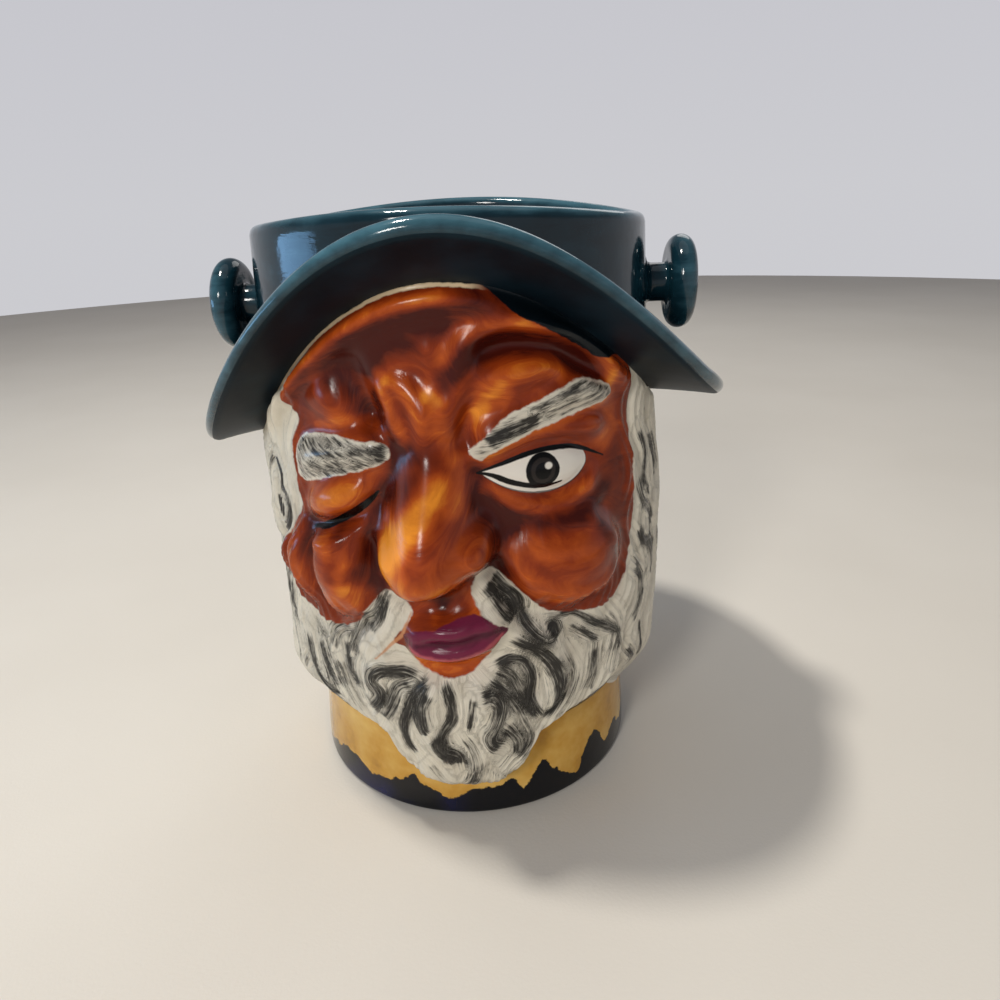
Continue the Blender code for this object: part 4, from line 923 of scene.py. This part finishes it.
def makeHat(junctionRadius, headAngles):
    angle = wrapped(np.arange(hat["columns"]) * 360 / hat["columns"])
    order = np.argsort(headAngles)
    innerRadius = np.interp(angle, headAngles[order], junctionRadius[order], period=360)
    innerHeight = junctionAt(angle)
    lip = hat["lip"]
    lipRadius = brimRadiusAt(angle) - lip
    lipCentre = lipHeightAt(angle) - lip
    slope = np.arctan2(lipCentre - innerHeight, lipRadius - innerRadius)
    rows = hat["rows"]

    def lipPoint(turn):
        around = slope + np.radians(turn)
        return profileOf(lipRadius + lip * np.cos(around), lipCentre + lip * np.sin(around))

    # the brim, from the head out along its underside, around the lip and back to the crown
    start = profileOf(innerRadius, innerHeight)
    underMiddle = profileOf((innerRadius + lipRadius) / 2,
                            innerHeight + (lipCentre - lip - innerHeight) * hat["undersideRise"])
    under = bend(start, underMiddle, lipPoint(hat["lipTurns"][0]), rows["under"])
    lips = lipPoint(rowsBetween(*hat["lipTurns"], rows["lip"]))
    root = innerHeight + hat["root"]
    fillet = hat["fillet"]
    crown = crownRadiusAt(angle, root)
    foot = root + fillet * hat["filletHeight"]
    level = root + hat["filletNear"] * fillet
    topMiddle = profileOf((lipRadius + crown) / 2, root + (lipCentre + lip - root) * hat["topRise"])
    nearRoot = profileOf(crown + fillet, level)
    top = bend(lips[-1], topMiddle, nearRoot, rows["top"])
    turnUp = bow(nearRoot, profileOf(crown, level), profileOf(crownRadiusAt(angle, root + fillet), foot),
                 rows["turnUp"])

    # the crown, the rounded rim and the cavity down to its floor
    rows = bucket["rows"]
    half = bucket["rimThickness"] / 2
    rim = rimHeightAt(angle) - half
    height = foot + (rim - foot) * rowsBetween(0, 1, rows["crown"])
    crownWall = profileOf(crownRadiusAt(angle, height), height)
    around = np.radians(rowsBetween(0, 180, rows["rim"]))
    rimBead = profileOf(bucket["rimRadius"] - half + half * np.cos(around), rim + half * np.sin(around))
    corner = bucket["floorCorner"]
    bottom = bucket["floorThickness"] + corner
    height = rim + (bottom - rim) * rowsBetween(0, 1, rows["wall"])
    wall = profileOf(innerRadiusAt(angle, height), height)
    around = np.radians(rowsBetween(0, 90, rows["corner"]))
    turnIn = profileOf(wall[-1, :, 0] - corner * (1 - np.cos(around)), bottom - corner * np.sin(around))
    floor = profileOf(turnIn[-1, :, 0] * rowsBetween(1, bucket["capShare"], rows["floor"]),
                      bucket["floorThickness"])
    sections = {"start": start[None], "under": under, "lips": lips, "top": top, "turnUp": turnUp,
                "crown": crownWall, "rim": rimBead, "wall": wall, "turnIn": turnIn, "floor": floor}
    profile = np.concatenate(list(sections.values()))
    piece = gridPiece("hat", roundPoints(angle, profile[..., 0], profile[..., 1]), capEnd=True)

    def perRow(**shares):
        # a value for each row, from the share of the way along the sections that have one
        return np.concatenate([shares[name](np.linspace(0, 1, len(points))) if name in shares
                               else np.zeros(len(points)) for name, points in sections.items()])[:, None]

    # where the glaze thins lighter over an edge, partly a painted highlight, where it pools, and what lies in
    # the shade of the brim
    thin = perRow(lips=lambda t: np.sin(math.pi * t), rim=lambda t: np.sin(math.pi * t))
    thin = np.convolve(thin[:, 0], hat["thinning"], mode="same")[:, None]
    light, shade, left = hat["edgeLight"], hat["lipShade"], hat["crownPool"]
    # painted shade under the brim, deepest by the head and fading around the lip
    underside = perRow(start=lambda t: 1 + t, under=lambda t: 1 - light * t ** 3,
                       lips=lambda t: shade * (1 - t))
    pool = perRow(top=lambda t: t ** 4, turnUp=lambda t: 1 - (1 - left) * t, crown=lambda t: left * (1 - t))
    storeValues(piece, profile.shape[:2], thin=thin, underside=underside, pool=pool)
    shadedRows = 1 + len(under) + hat["shadedLipRows"]
    slots = np.zeros(len(piece.data.polygons), dtype=np.int32)
    slots[:shadedRows * hat["columns"]] = 1
    piece.data.polygons.foreach_set("material_index", slots)
    return piece


def makeKnob(name, side, height):
    wall = float(crownRadiusAt(np.array(90.0 * side), np.array(height)))
    rows = knobs["rows"]
    half = knobs["thickness"] / 2
    flat = knobs["radius"] - half
    inner = knobs["centre"] - half
    stem = knobs["stemRadius"]
    edge = knobs["edge"]
    flare = knobs["flare"]
    across = np.linspace(knobs["capShare"], 1, rows["face"])[:, None]
    dome = knobs["dome"] * np.cos(across * math.pi / 2)
    bead = np.radians(rowsBetween(90, -90, rows["bead"]))
    corner = np.radians(rowsBetween(0, 90, rows["corner"]))
    root = np.radians(np.linspace(0, 90, rows["flare"]))[:, None]
    sections = [profileOf(flat * across, knobs["centre"] + half + dome),
                profileOf(flat + half * np.cos(bead), knobs["centre"] + half * np.sin(bead)),
                profileOf(flat + (stem + edge - flat) * rowsBetween(0, 1, rows["back"]), inner),
                profileOf(stem + edge * (1 - np.sin(corner)), inner - edge * (1 - np.cos(corner))),
                profileOf(stem + flare * (1 - np.cos(root)), wall + flare * (1 - np.sin(root))),
                profileOf(np.array([[stem + flare], [0]]), wall - bucket["rimThickness"] / 2)]
    radius, along = np.moveaxis(np.concatenate(sections)[::-1], -1, 0)
    turn = np.radians(np.arange(knobs["sides"]) * 360 / knobs["sides"])
    points = np.stack(np.broadcast_arrays(side * along, radius * np.cos(turn) * side,
                                          height + radius * np.sin(turn)), axis=-1)
    piece = gridPiece(name, points, capEnd=True)
    shape = points.shape[:2]
    most, middle, spread = knobs["thin"]
    thin = most * np.exp(-((np.arange(shape[0]) - middle) / spread) ** 2)[::-1, None]
    storeValues(piece, shape, thin=thin, underside=0, pool=0)
    return piece


headPiece, headAngles, junctionRadius = makeHead()
collarPiece = makeCollar(headAngles)
hatPiece = makeHat(junctionRadius, headAngles)
leftKnob = makeKnob("leftKnob", -1, knobs["leftHeight"])
rightKnob = makeKnob("rightKnob", 1, knobs["rightHeight"])
pieces = (headPiece, collarPiece, hatPiece, leftKnob, rightKnob)
print("forms made:", {piece.name: len(piece.data.polygons) for piece in pieces})


# Shader sheets: a Value is a socket that works in a Python expression

class Value:
    def __init__(self, sheet, socket):
        self.sheet = sheet
        self.socket = socket

    def combine(self, operation, first, second):
        return self.sheet.add("ShaderNodeMath", {"operation": operation}, {0: first, 1: second})

    def __add__(self, other):
        return self.combine("ADD", self, other)

    def __radd__(self, other):
        return self.combine("ADD", other, self)

    def __sub__(self, other):
        return self.combine("SUBTRACT", self, other)

    def __rsub__(self, other):
        return self.combine("SUBTRACT", other, self)

    def __mul__(self, other):
        return self.combine("MULTIPLY", self, other)

    def __rmul__(self, other):
        return self.combine("MULTIPLY", other, self)

    def __pow__(self, other):
        return self.combine("POWER", self, other)

    def largest(self, other):
        return self.combine("MAXIMUM", self, other)

    def step(self, low, high):
        # 0 below low and 1 above high, eased between them; the two may be swapped
        return self.sheet.add("ShaderNodeMapRange", {"interpolation_type": "SMOOTHSTEP"},
                              {"Value": self, "From Min": low, "From Max": high})

    def part(self, name):
        # another output of the same node
        return Value(self.sheet, self.socket.node.outputs[name])


class Sheet:
    # the nodes of a material, or of the air around the bucket
    def __init__(self, owner):
        self.owner = owner
        owner.use_nodes = True
        self.tree = owner.node_tree
        self.shader = self.tree.nodes.get("Principled BSDF")

    def add(self, kind, settings, sockets, output=0):
        node = self.tree.nodes.new(kind)
        for setting, value in settings.items():
            if setting == "stops":
                self.setStops(node.color_ramp, value)
            else:
                setattr(node, setting, value)
        for key, value in sockets.items():
            self.plug(node.inputs[key], value)
        return Value(self, node.outputs[output])

    def plug(self, socket, value):
        if isinstance(value, Value):
            self.tree.links.new(value.socket, socket)
        elif isinstance(value, tuple) and len(value) == 3 and socket.type == "RGBA":
            socket.default_value = (*value, 1)
        else:
            socket.default_value = value

    def setStops(self, ramp, stops):
        while len(ramp.elements) < len(stops):
            ramp.elements.new(0.5)
        for element, (position, colour) in zip(ramp.elements, stops):
            element.position = position
            element.color = (*colour, 1)

    def stored(self, name, output="Fac"):
        return self.add("ShaderNodeAttribute", {"attribute_name": name}, {}, output=output)

    def length(self, vector):
        return self.add("ShaderNodeVectorMath", {"operation": "LENGTH"}, {0: vector}, output="Value")

    def stretch(self, vector, scale):
        return self.add("ShaderNodeVectorMath", {"operation": "MULTIPLY"}, {0: vector, 1: scale})

    def place(self):
        return self.add("ShaderNodeTexCoord", {}, {}, output="Object")

    def noise(self, vector, scale, detail=3.0, roughness=0.5, distortion=0.0):
        return self.add("ShaderNodeTexNoise", {"noise_dimensions": "3D"},
                        {"Vector": vector, "Scale": scale, "Detail": detail, "Roughness": roughness,
                         "Distortion": distortion}, output="Fac")

    def mix(self, share, first, second):
        return self.add("ShaderNodeMix", {"data_type": "RGBA"}, {0: share, 6: first, 7: second}, output=2)

    def ramp(self, value, stops):
        return self.add("ShaderNodeValToRGB", {"stops": stops}, {"Fac": value}, output="Color")

    def bump(self, height, distance, strength=1.0):
        return self.add("ShaderNodeBump", {}, {"Height": height, "Distance": distance, "Strength": strength})

    def line(self, name, wobble, softness):
        # a painted line: 1 on it, from the stored distance across, distance past its ends and half width
        track = self.add("ShaderNodeSeparateXYZ", {}, {"Vector": self.stored(name, "Vector")}, output="X")
        distance = (track * track + track.part("Y") * track.part("Y")) ** 0.5
        return (track.part("Z") - distance + wobble).step(-softness, softness)

    def finish(self, colour, roughness, normal, specular):
        values = {"Base Color": colour, "Roughness": roughness, "Normal": normal,
                  "Specular IOR Level": specular}
        for name, value in values.items():
            self.plug(self.shader.inputs[name], value)
        return self.owner


def shaded(code):
    # a colour from its web code, as linear light
    parts = [int(code[index:index + 2], 16) / 255 for index in (1, 3, 5)]
    return tuple(part / 12.92 if part <= 0.04045 else ((part + 0.055) / 1.055) ** 2.4 for part in parts)


glaze = {
    "skinDark": shaded("#43120a"),
    "skin": shaded("#86310f"),
    "skinBright": shaded("#b24f18"),
    "skinGlow": shaded("#ec932c"),
    "hair": shaded("#ddd6c4"),
    "hairShade": shaded("#b9b09d"),
    "ink": shaded("#151312"),
    "wash": shaded("#5b5853"),     # thinned black around the strokes
    "slip": shaded("#dcc5a0"),
    "lips": shaded("#6e213c"),
    "lipsDark": shaded("#3d1022"),
    "lipsPale": shaded("#b4535c"),
    "corner": shaded("#c98a5c"),
    "eyeWhite": shaded("#e6e0d4"),
    "iris": shaded("#2a2522"),
    "black": shaded("#070707"),
    "collar": shaded("#c4923a"),
    "collarPale": shaded("#d9b05e"),
    "collarDark": shaded("#96672a"),
    "foot": shaded("#0a0b10"),
    "footReflection": shaded("#1b1f52"),
    "hat": shaded("#0f2a34"),
    "hatThinAndHighlight": shaded("#47707e"),
    "hatPool": shaded("#060e13"),
    # painted shade under the brim, with paler patches
    "underside": shaded("#08121a"),
    "undersidePale": shaded("#12242e"),
}

# in each coat a grain is its scale, detail, roughness and distortion, an edge is where it begins and is full,
# and a bump is its depth in metres and its strength

headCoat = {
    "wobble": (420, 3),        # the small unevenness of every painted edge
    "broad": (60, 4, 0.6),
    "streak": (1.5, 4, 0.6),
    "fineStreak": (4.5, 2, 0.5),
    "brushed": (1.3, 5, 0.62, 0.8),
    "hairTone": (120, 4),
    "smudges": (36, 2),
    "blotches": (150, 3, 0.6),
    "haze": (70, 2),
    "skinDepth": {"even": 0.4, "relief": 0.11, "glow": 0.29, "brushed": 0.75, "broad": 0.3},
    "skinStops": (0.08, 0.45, 0.68, 1.0),
    "hollowEdge": (0.4, -1.0),
    "toneEdge": (0.4, 0.75),
    "smudgeEdge": (0.46, 0.68),
    "smudge": 0.36,
    "washEdge": (0.2, 1.05),
    "wash": 0.55,
    "inkEdge": (0.3, 0.92),    # cover at which the brush begins to mark and where it is solid
    "ink": 0.94,
    "dryness": 1.6,            # how strongly a stroke breaks up along its bristles
    "faceEdge": (-0.35, 0.35),
    "browEdge": (-0.3, 0.3),
    "lipEdge": (-0.25, 0.25),
    "lowerLipEdge": (-0.7, 0.6),
    "whiteEdge": (-0.2, 0.2),
    "irisEdge": (4.95, 4.6),   # these four are distances from the middle of the iris or the glint
    "ringEdge": (3.7, 3.2),
    "pupilEdge": (2.1, 2.5),
    "glintEdge": (1.35, 0.8),
    "lidEdge": (-0.1, 0.25),
    # wobble, softness and strength of each painted line
    "lines": {"upper_lash": (0.3, 0.16, 1), "inner_corner": (0.3, 0.16, 1), "lower_lid": (0.3, 0.16, 0.75),
              "closed_lash": (0.5, 0.2, 1), "ear_curl": (2.4, 0.5, 0.9)},
    "slipAngles": (14, 8),
    "slipEdge": (-0.2, 0.25),
    "hatEdge": (-0.25, 0.25),
    "bump": (0.0005, 0.6),
    "roughness": 0.15,
    "specular": 0.2,
}


def headGlaze():
    sheet = Sheet(bpy.data.materials.new("headGlaze"))
    here = sheet.place()
    wobble = sheet.noise(here, *headCoat["wobble"]) - 0.5
    broad = sheet.noise(here, *headCoat["broad"]) - 0.5
    grain = sheet.stored("grain", "Vector")
    streak = sheet.noise(grain, *headCoat["streak"]) - 0.5
    fineStreak = sheet.noise(grain, *headCoat["fineStreak"]) - 0.5
    # the skin: dark in the hollows and orange on the ridges, partly glaze that pools and thins, partly
    # painted shade in the hollows and painted light on the ridges
    brushed = sheet.noise(sheet.stored("brush", "Vector"), *headCoat["brushed"]) - 0.5
    share = headCoat["skinDepth"]
    depth = sheet.stored("relief") * share["relief"] + sheet.stored("glow") * share["glow"] + share["even"]
    depth = depth + brushed * share["brushed"] + broad * share["broad"]
    tones = [glaze[name] for name in ("skinDark", "skin", "skinBright", "skinGlow")]
    skin = sheet.ramp(depth, list(zip(headCoat["skinStops"], tones)))
    # hair and beard: off-white slip under dry strokes of black
    # painted shade in the hollows between the locks and strands, mixed with a tone that differs at random
    hollow = sheet.stored("hairRelief").step(*headCoat["hollowEdge"])
    tone = sheet.noise(here, *headCoat["hairTone"]).step(*headCoat["toneEdge"]) * 0.5 + hollow * 0.5
    hair = sheet.mix(tone, glaze["hair"], glaze["hairShade"])
    ink = sheet.stored("ink")
    smudges = sheet.noise(here, *headCoat["smudges"]).step(*headCoat["smudgeEdge"]) * headCoat["smudge"]
    washed = (ink + streak * 0.9 + smudges * 0.4).step(*headCoat["washEdge"])
    hair = sheet.mix(washed * headCoat["wash"], hair, glaze["wash"])
    blotches = sheet.noise(here, *headCoat["blotches"]) - 0.5
    cover = ink * 0.93 + smudges * (1 - ink) + streak * headCoat["dryness"]
    cover = cover + fineStreak * 0.6 + blotches * 0.9
    hair = sheet.mix(cover.step(*headCoat["inkEdge"]) * headCoat["ink"], hair, glaze["ink"])
    face = (sheet.stored("face") + wobble * 1.4).step(*headCoat["faceEdge"])
    colour = sheet.mix(face, hair, skin)
    brow = sheet.stored("left_brow").largest(sheet.stored("right_brow"))
    colour = sheet.mix((brow + wobble * 1.4).step(*headCoat["browEdge"]), colour, hair)
    # the lips, with painted shade where they meet, and paler along the lower edge, partly a painted highlight
    lips = (sheet.stored("lips") + wobble).step(*headCoat["lipEdge"])
    lipTone = sheet.ramp(sheet.stored("relief") * 0.2 + brushed * 0.8 + 0.42,
                         [(0.1, glaze["lipsDark"]), (0.6, glaze["lips"])])
    lower = (sheet.stored("lower_lip") + wobble * 1.4).step(*headCoat["lowerLipEdge"])
    lipTone = sheet.mix(lower * 0.85, lipTone, glaze["lipsPale"])
    lipTone = sheet.mix(sheet.line("mouth_line", wobble * 1.5, 0.9) * 0.75, lipTone, glaze["lipsDark"])
    colour = sheet.mix(lips, colour, lipTone)
    corner = sheet.line("mouth_corner", wobble * 0.6, 0.3) * (1 - lips)
    colour = sheet.mix(corner * 0.8, colour, glaze["corner"])
    # the open eye, and the lines around both eyes and in the ear
    white = sheet.stored("eye_white")
    colour = sheet.mix((white + wobble * 0.4).step(*headCoat["whiteEdge"]), colour, glaze["eyeWhite"])
    fromPupil = sheet.length(sheet.stored("iris", "Vector")) + wobble * 0.4
    ring = fromPupil.step(*headCoat["ringEdge"]) * fromPupil.step(*headCoat["pupilEdge"])
    iris = fromPupil.step(*headCoat["irisEdge"]) * white.step(*headCoat["lidEdge"])
    colour = sheet.mix(iris, colour, sheet.mix(ring, glaze["black"], glaze["iris"]))
    glint = sheet.length(sheet.stored("glint", "Vector")).step(*headCoat["glintEdge"])
    colour = sheet.mix(glint, colour, glaze["eyeWhite"])
    lines = [sheet.line(name, wobble * unevenness, softness) * strength
             for name, (unevenness, softness, strength) in headCoat["lines"].items()]
    colour = sheet.mix(reduce(Value.largest, lines), colour, glaze["black"])
    # bare slip along the hat, and the hat's glaze running over the forehead
    slip = (sheet.stored("creamLine") + wobble * 0.8 + broad * 1.4).step(*headCoat["slipEdge"])
    colour = sheet.mix(slip * sheet.stored("angle").step(*headCoat["slipAngles"]), colour, glaze["slip"])
    run = (sheet.stored("hatPaint") + broad * 3.4 + wobble * 0.8).step(*headCoat["hatEdge"])
    colour = sheet.mix(run, colour, glaze["hatPool"])
    strands = (1 - face) * (streak + fineStreak * 0.6)
    surface = sheet.bump(strands + broad * 0.15 + brushed * face * 0.5, *headCoat["bump"])
    roughness = sheet.noise(here, *headCoat["haze"]) * 0.08 + headCoat["roughness"]
    return sheet.finish(colour, roughness, surface, headCoat["specular"])


collarCoat = {
    "wobble": (330, 4),
    "broad": (48, 4, 0.6),
    "ragged": (170, 4, 0.65),
    "raggedness": 7,           # how far the foot's edge strays from its peaks, in units
    "clouds": (30, 2),
    "cloudEdge": (0.38, 0.56),
    "reflectionSide": (0.08, -0.28),    # the painted blue reflection shows on the left of this, from -1 at the left to 1 at the right
    "blueReflection": 0.85,
    "footEdge": (-0.35, 0.35),
    "beardEdge": (1.1, 0.5),
    "bump": (0.0006, 0.3),
    "roughness": 0.1,
    "specular": 0.34,
}


def collarGlaze():
    sheet = Sheet(bpy.data.materials.new("collarGlaze"))
    here = sheet.place()
    wobble = sheet.noise(here, *collarCoat["wobble"]) - 0.5
    broad = sheet.noise(here, *collarCoat["broad"])
    ground = sheet.ramp(broad, [(0.3, glaze["collarDark"]), (0.46, glaze["collar"]),
                                (0.68, glaze["collarPale"])])
    # the dark foot climbs in ragged peaks
    rough = (sheet.noise(here, *collarCoat["ragged"]) - 0.5) * collarCoat["raggedness"] + wobble * 1.6 - 0.8
    dark = (sheet.stored("peaks") + rough - sheet.stored("height")).step(*collarCoat["footEdge"])
    # a painted blue reflection in patches on the left of the dark foot
    blueReflection = sheet.noise(here, *collarCoat["clouds"]).step(*collarCoat["cloudEdge"])
    blueReflection = blueReflection * sheet.stored("rightward").step(*collarCoat["reflectionSide"])
    colour = sheet.mix(dark, ground, sheet.mix(blueReflection * collarCoat["blueReflection"], glaze["foot"], glaze["footReflection"]))
    edge = (sheet.stored("belowBeard") + wobble * 0.8 + (broad - 0.5) * 2).step(*collarCoat["beardEdge"])
    colour = sheet.mix(edge, colour, glaze["hair"])
    surface = sheet.bump(broad, *collarCoat["bump"])
    return sheet.finish(colour, broad * 0.05 + collarCoat["roughness"], surface, collarCoat["specular"])


hatCoat = {
    "broad": (42, 4, 0.55),
    "brushed": (80, 4, 0.6, 0.6),
    "brushStretch": (0.6, 0.6, 3.0),
    "wobble": (260, 3),
    "haze": (60, 2),
    "depth": {"even": 0.4, "brushed": 0.5, "broad": 0.6, "thin": 0.42, "pool": -0.2},
    "paleEdge": (0.4, 0.7),
    "shadeEdge": (0.2, 0.75),
    "bump": (0.0009, 0.35),
    "roughness": 0.08,
    "specular": 0.34,
    "underside": {"bump": (0.0006, 0.3), "roughness": 0.38, "specular": 0.1},
}


def shadeColour(sheet, broad):
    return sheet.mix(broad.step(*hatCoat["paleEdge"]), glaze["underside"], glaze["undersidePale"])


def hatGlaze():
    sheet = Sheet(bpy.data.materials.new("hatGlaze"))
    here = sheet.place()
    broad = sheet.noise(here, *hatCoat["broad"])
    brushed = sheet.noise(sheet.stretch(here, hatCoat["brushStretch"]), *hatCoat["brushed"])
    wobble = sheet.noise(here, *hatCoat["wobble"]) - 0.5
    share = hatCoat["depth"]
    tone = (brushed - 0.5) * share["brushed"] + (broad - 0.5) * share["broad"] + share["even"]
    # lighter where the glaze thins over the edges, partly a painted highlight
    tone = tone + sheet.stored("thin") * share["thin"] + sheet.stored("pool") * share["pool"]
    colour = sheet.ramp(tone, [(0.12, glaze["hatPool"]), (0.45, glaze["hat"]), (1.0, glaze["hatThinAndHighlight"])])
    # painted shade under the brim
    under = (sheet.stored("underside") + wobble * 0.3).step(*hatCoat["shadeEdge"])
    colour = sheet.mix(under, colour, shadeColour(sheet, broad))
    surface = sheet.bump(broad + brushed * 0.25 + wobble * 0.05, *hatCoat["bump"])
    roughness = sheet.noise(here, *hatCoat["haze"]) * 0.05 + hatCoat["roughness"]
    return sheet.finish(colour, roughness, surface, hatCoat["specular"])


def undersideGlaze():
    # thinner, drier glaze under the brim, coloured with the painted shade under it
    dry = hatCoat["underside"]
    sheet = Sheet(bpy.data.materials.new("undersideGlaze"))
    broad = sheet.noise(sheet.place(), *hatCoat["broad"])
    under = sheet.stored("underside").step(*hatCoat["shadeEdge"])
    colour = sheet.mix(under, glaze["hat"], shadeColour(sheet, broad))
    surface = sheet.bump(broad, *dry["bump"])
    return sheet.finish(colour, broad * 0.1 + dry["roughness"], surface, dry["specular"])


headPiece.data.materials.append(headGlaze())
collarPiece.data.materials.append(collarGlaze())
teal = hatGlaze()
for piece in (hatPiece, leftKnob, rightKnob):
    piece.data.materials.append(teal)
hatPiece.data.materials.append(undersideGlaze())
print("glazes painted")

for piece in pieces:
    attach(piece, "root")
    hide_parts("ice_bucket")


# The studio

studio = {
    "floorRadius": 1.6,
    "floorSides": 96,
    "floor": shaded("#d9d4ca"),
    "floorShade": shaded("#ccc6bb"),
    "floorClouds": (6, 3),
    "floorGrain": (900, 2),
    "floorBump": (0.0002, 0.3),
    "floorRoughness": 0.85,
    "floorSpecular": 0.5,
    # the air's colour from the horizon up to overhead
    "air": [(0.0, (0.60, 0.60, 0.63)), (0.2, (0.57, 0.57, 0.61)), (0.4, (0.21, 0.21, 0.23)),
            (1.0, (0.15, 0.15, 0.17))],
    # place, width, depth, watts, colour
    "lamps": {
        "lamp": ((-0.30, -0.05, 1.10), 0.11, 0.11, 8.0, (1.0, 0.96, 0.90)),
        "ceiling": ((0.05, 0.10, 1.30), 1.3, 0.9, 1.6, (0.93, 0.97, 1.0)),
        "front": ((-0.42, -1.05, 0.72), 0.26, 0.26, 6.2, (1.0, 0.97, 0.93)),
        "window": ((-0.92, -0.08, 0.17), 0.50, 0.15, 1.15, (0.27, 0.58, 1.0)),
        "behind": ((0.30, 0.95, 0.75), 0.6, 0.5, 1.2, (1.0, 0.99, 0.97)),
    },
    "aim": (0.0, 0.0, 0.10),
}

camera = {
    "back": 0.246,             # from the bucket's axis
    "height": 0.18696,
    "orbit": 6.0,
    "yaw": 2.85,
    "pitch": 22.1,
    "roll": -2.2,
    "focal": 0.752,            # as a share of the picture's width
    "sensor": 36.0,
    "nearest": 0.01,
}


def makeFloor():
    bpy.ops.mesh.primitive_circle_add(vertices=studio["floorSides"], radius=studio["floorRadius"],
                                      fill_type="NGON")
    floor = bpy.context.object
    floor.name = "floor"
    sheet = Sheet(bpy.data.materials.new("floorPaper"))
    here = sheet.place()
    colour = sheet.mix(sheet.noise(here, *studio["floorClouds"]), studio["floor"], studio["floorShade"])
    surface = sheet.bump(sheet.noise(here, *studio["floorGrain"]), *studio["floorBump"])
    paper = sheet.finish(colour, studio["floorRoughness"], surface, studio["floorSpecular"])
    floor.data.materials.append(paper)


def makeLamp(name, place, width, depth, watts, tint):
    lamp = bpy.data.lights.new(name, "AREA")
    lamp.shape = "ELLIPSE"
    lamp.size = width
    lamp.size_y = depth
    lamp.energy = watts
    lamp.color = tint
    holder = bpy.data.objects.new(name, lamp)
    holder.location = place
    holder.rotation_euler = (Vector(studio["aim"]) - Vector(place)).to_track_quat("-Z", "Y").to_euler()
    bpy.context.scene.collection.objects.link(holder)


def makeAir():
    world = bpy.data.worlds.new("air")
    bpy.context.scene.world = world
    sheet = Sheet(world)
    towards = sheet.add("ShaderNodeTexCoord", {}, {}, output="Generated")
    upwards = sheet.add("ShaderNodeSeparateXYZ", {}, {"Vector": towards}, output="Z")
    sheet.plug(sheet.tree.nodes["Background"].inputs["Color"], sheet.ramp(upwards, studio["air"]))


def makeCamera():
    yaw, pitch, roll, orbit = (math.radians(camera[name]) for name in ("yaw", "pitch", "roll", "orbit"))
    ahead = Vector((math.sin(yaw) * math.cos(pitch), math.cos(yaw) * math.cos(pitch), -math.sin(pitch)))
    right = Vector((math.cos(yaw), -math.sin(yaw), 0))
    up = right.cross(ahead)
    rolledRight = math.cos(roll) * right + math.sin(roll) * up
    rolledUp = -math.sin(roll) * right + math.cos(roll) * up
    place = Vector((0, -camera["back"], camera["height"]))
    columns = (rolledRight, rolledUp, -ahead, place)
    pose = Matrix([[column[row] for column in columns] for row in range(3)] + [[0, 0, 0, 1]])
    lens = bpy.data.cameras.new("camera")
    lens.sensor_width = camera["sensor"]
    lens.lens = camera["focal"] * camera["sensor"]
    lens.clip_start = camera["nearest"]
    eye = bpy.data.objects.new("camera", lens)
    eye.matrix_world = Matrix.Rotation(orbit, 4, "Z") @ pose
    bpy.context.scene.collection.objects.link(eye)
    bpy.context.scene.camera = eye


makeFloor()
for lampName, facts in studio["lamps"].items():
    makeLamp(lampName, *facts)
makeAir()
makeCamera()
bpy.context.scene.view_settings.view_transform = "Standard"
print("studio ready")

bpy.context.view_layer.update()
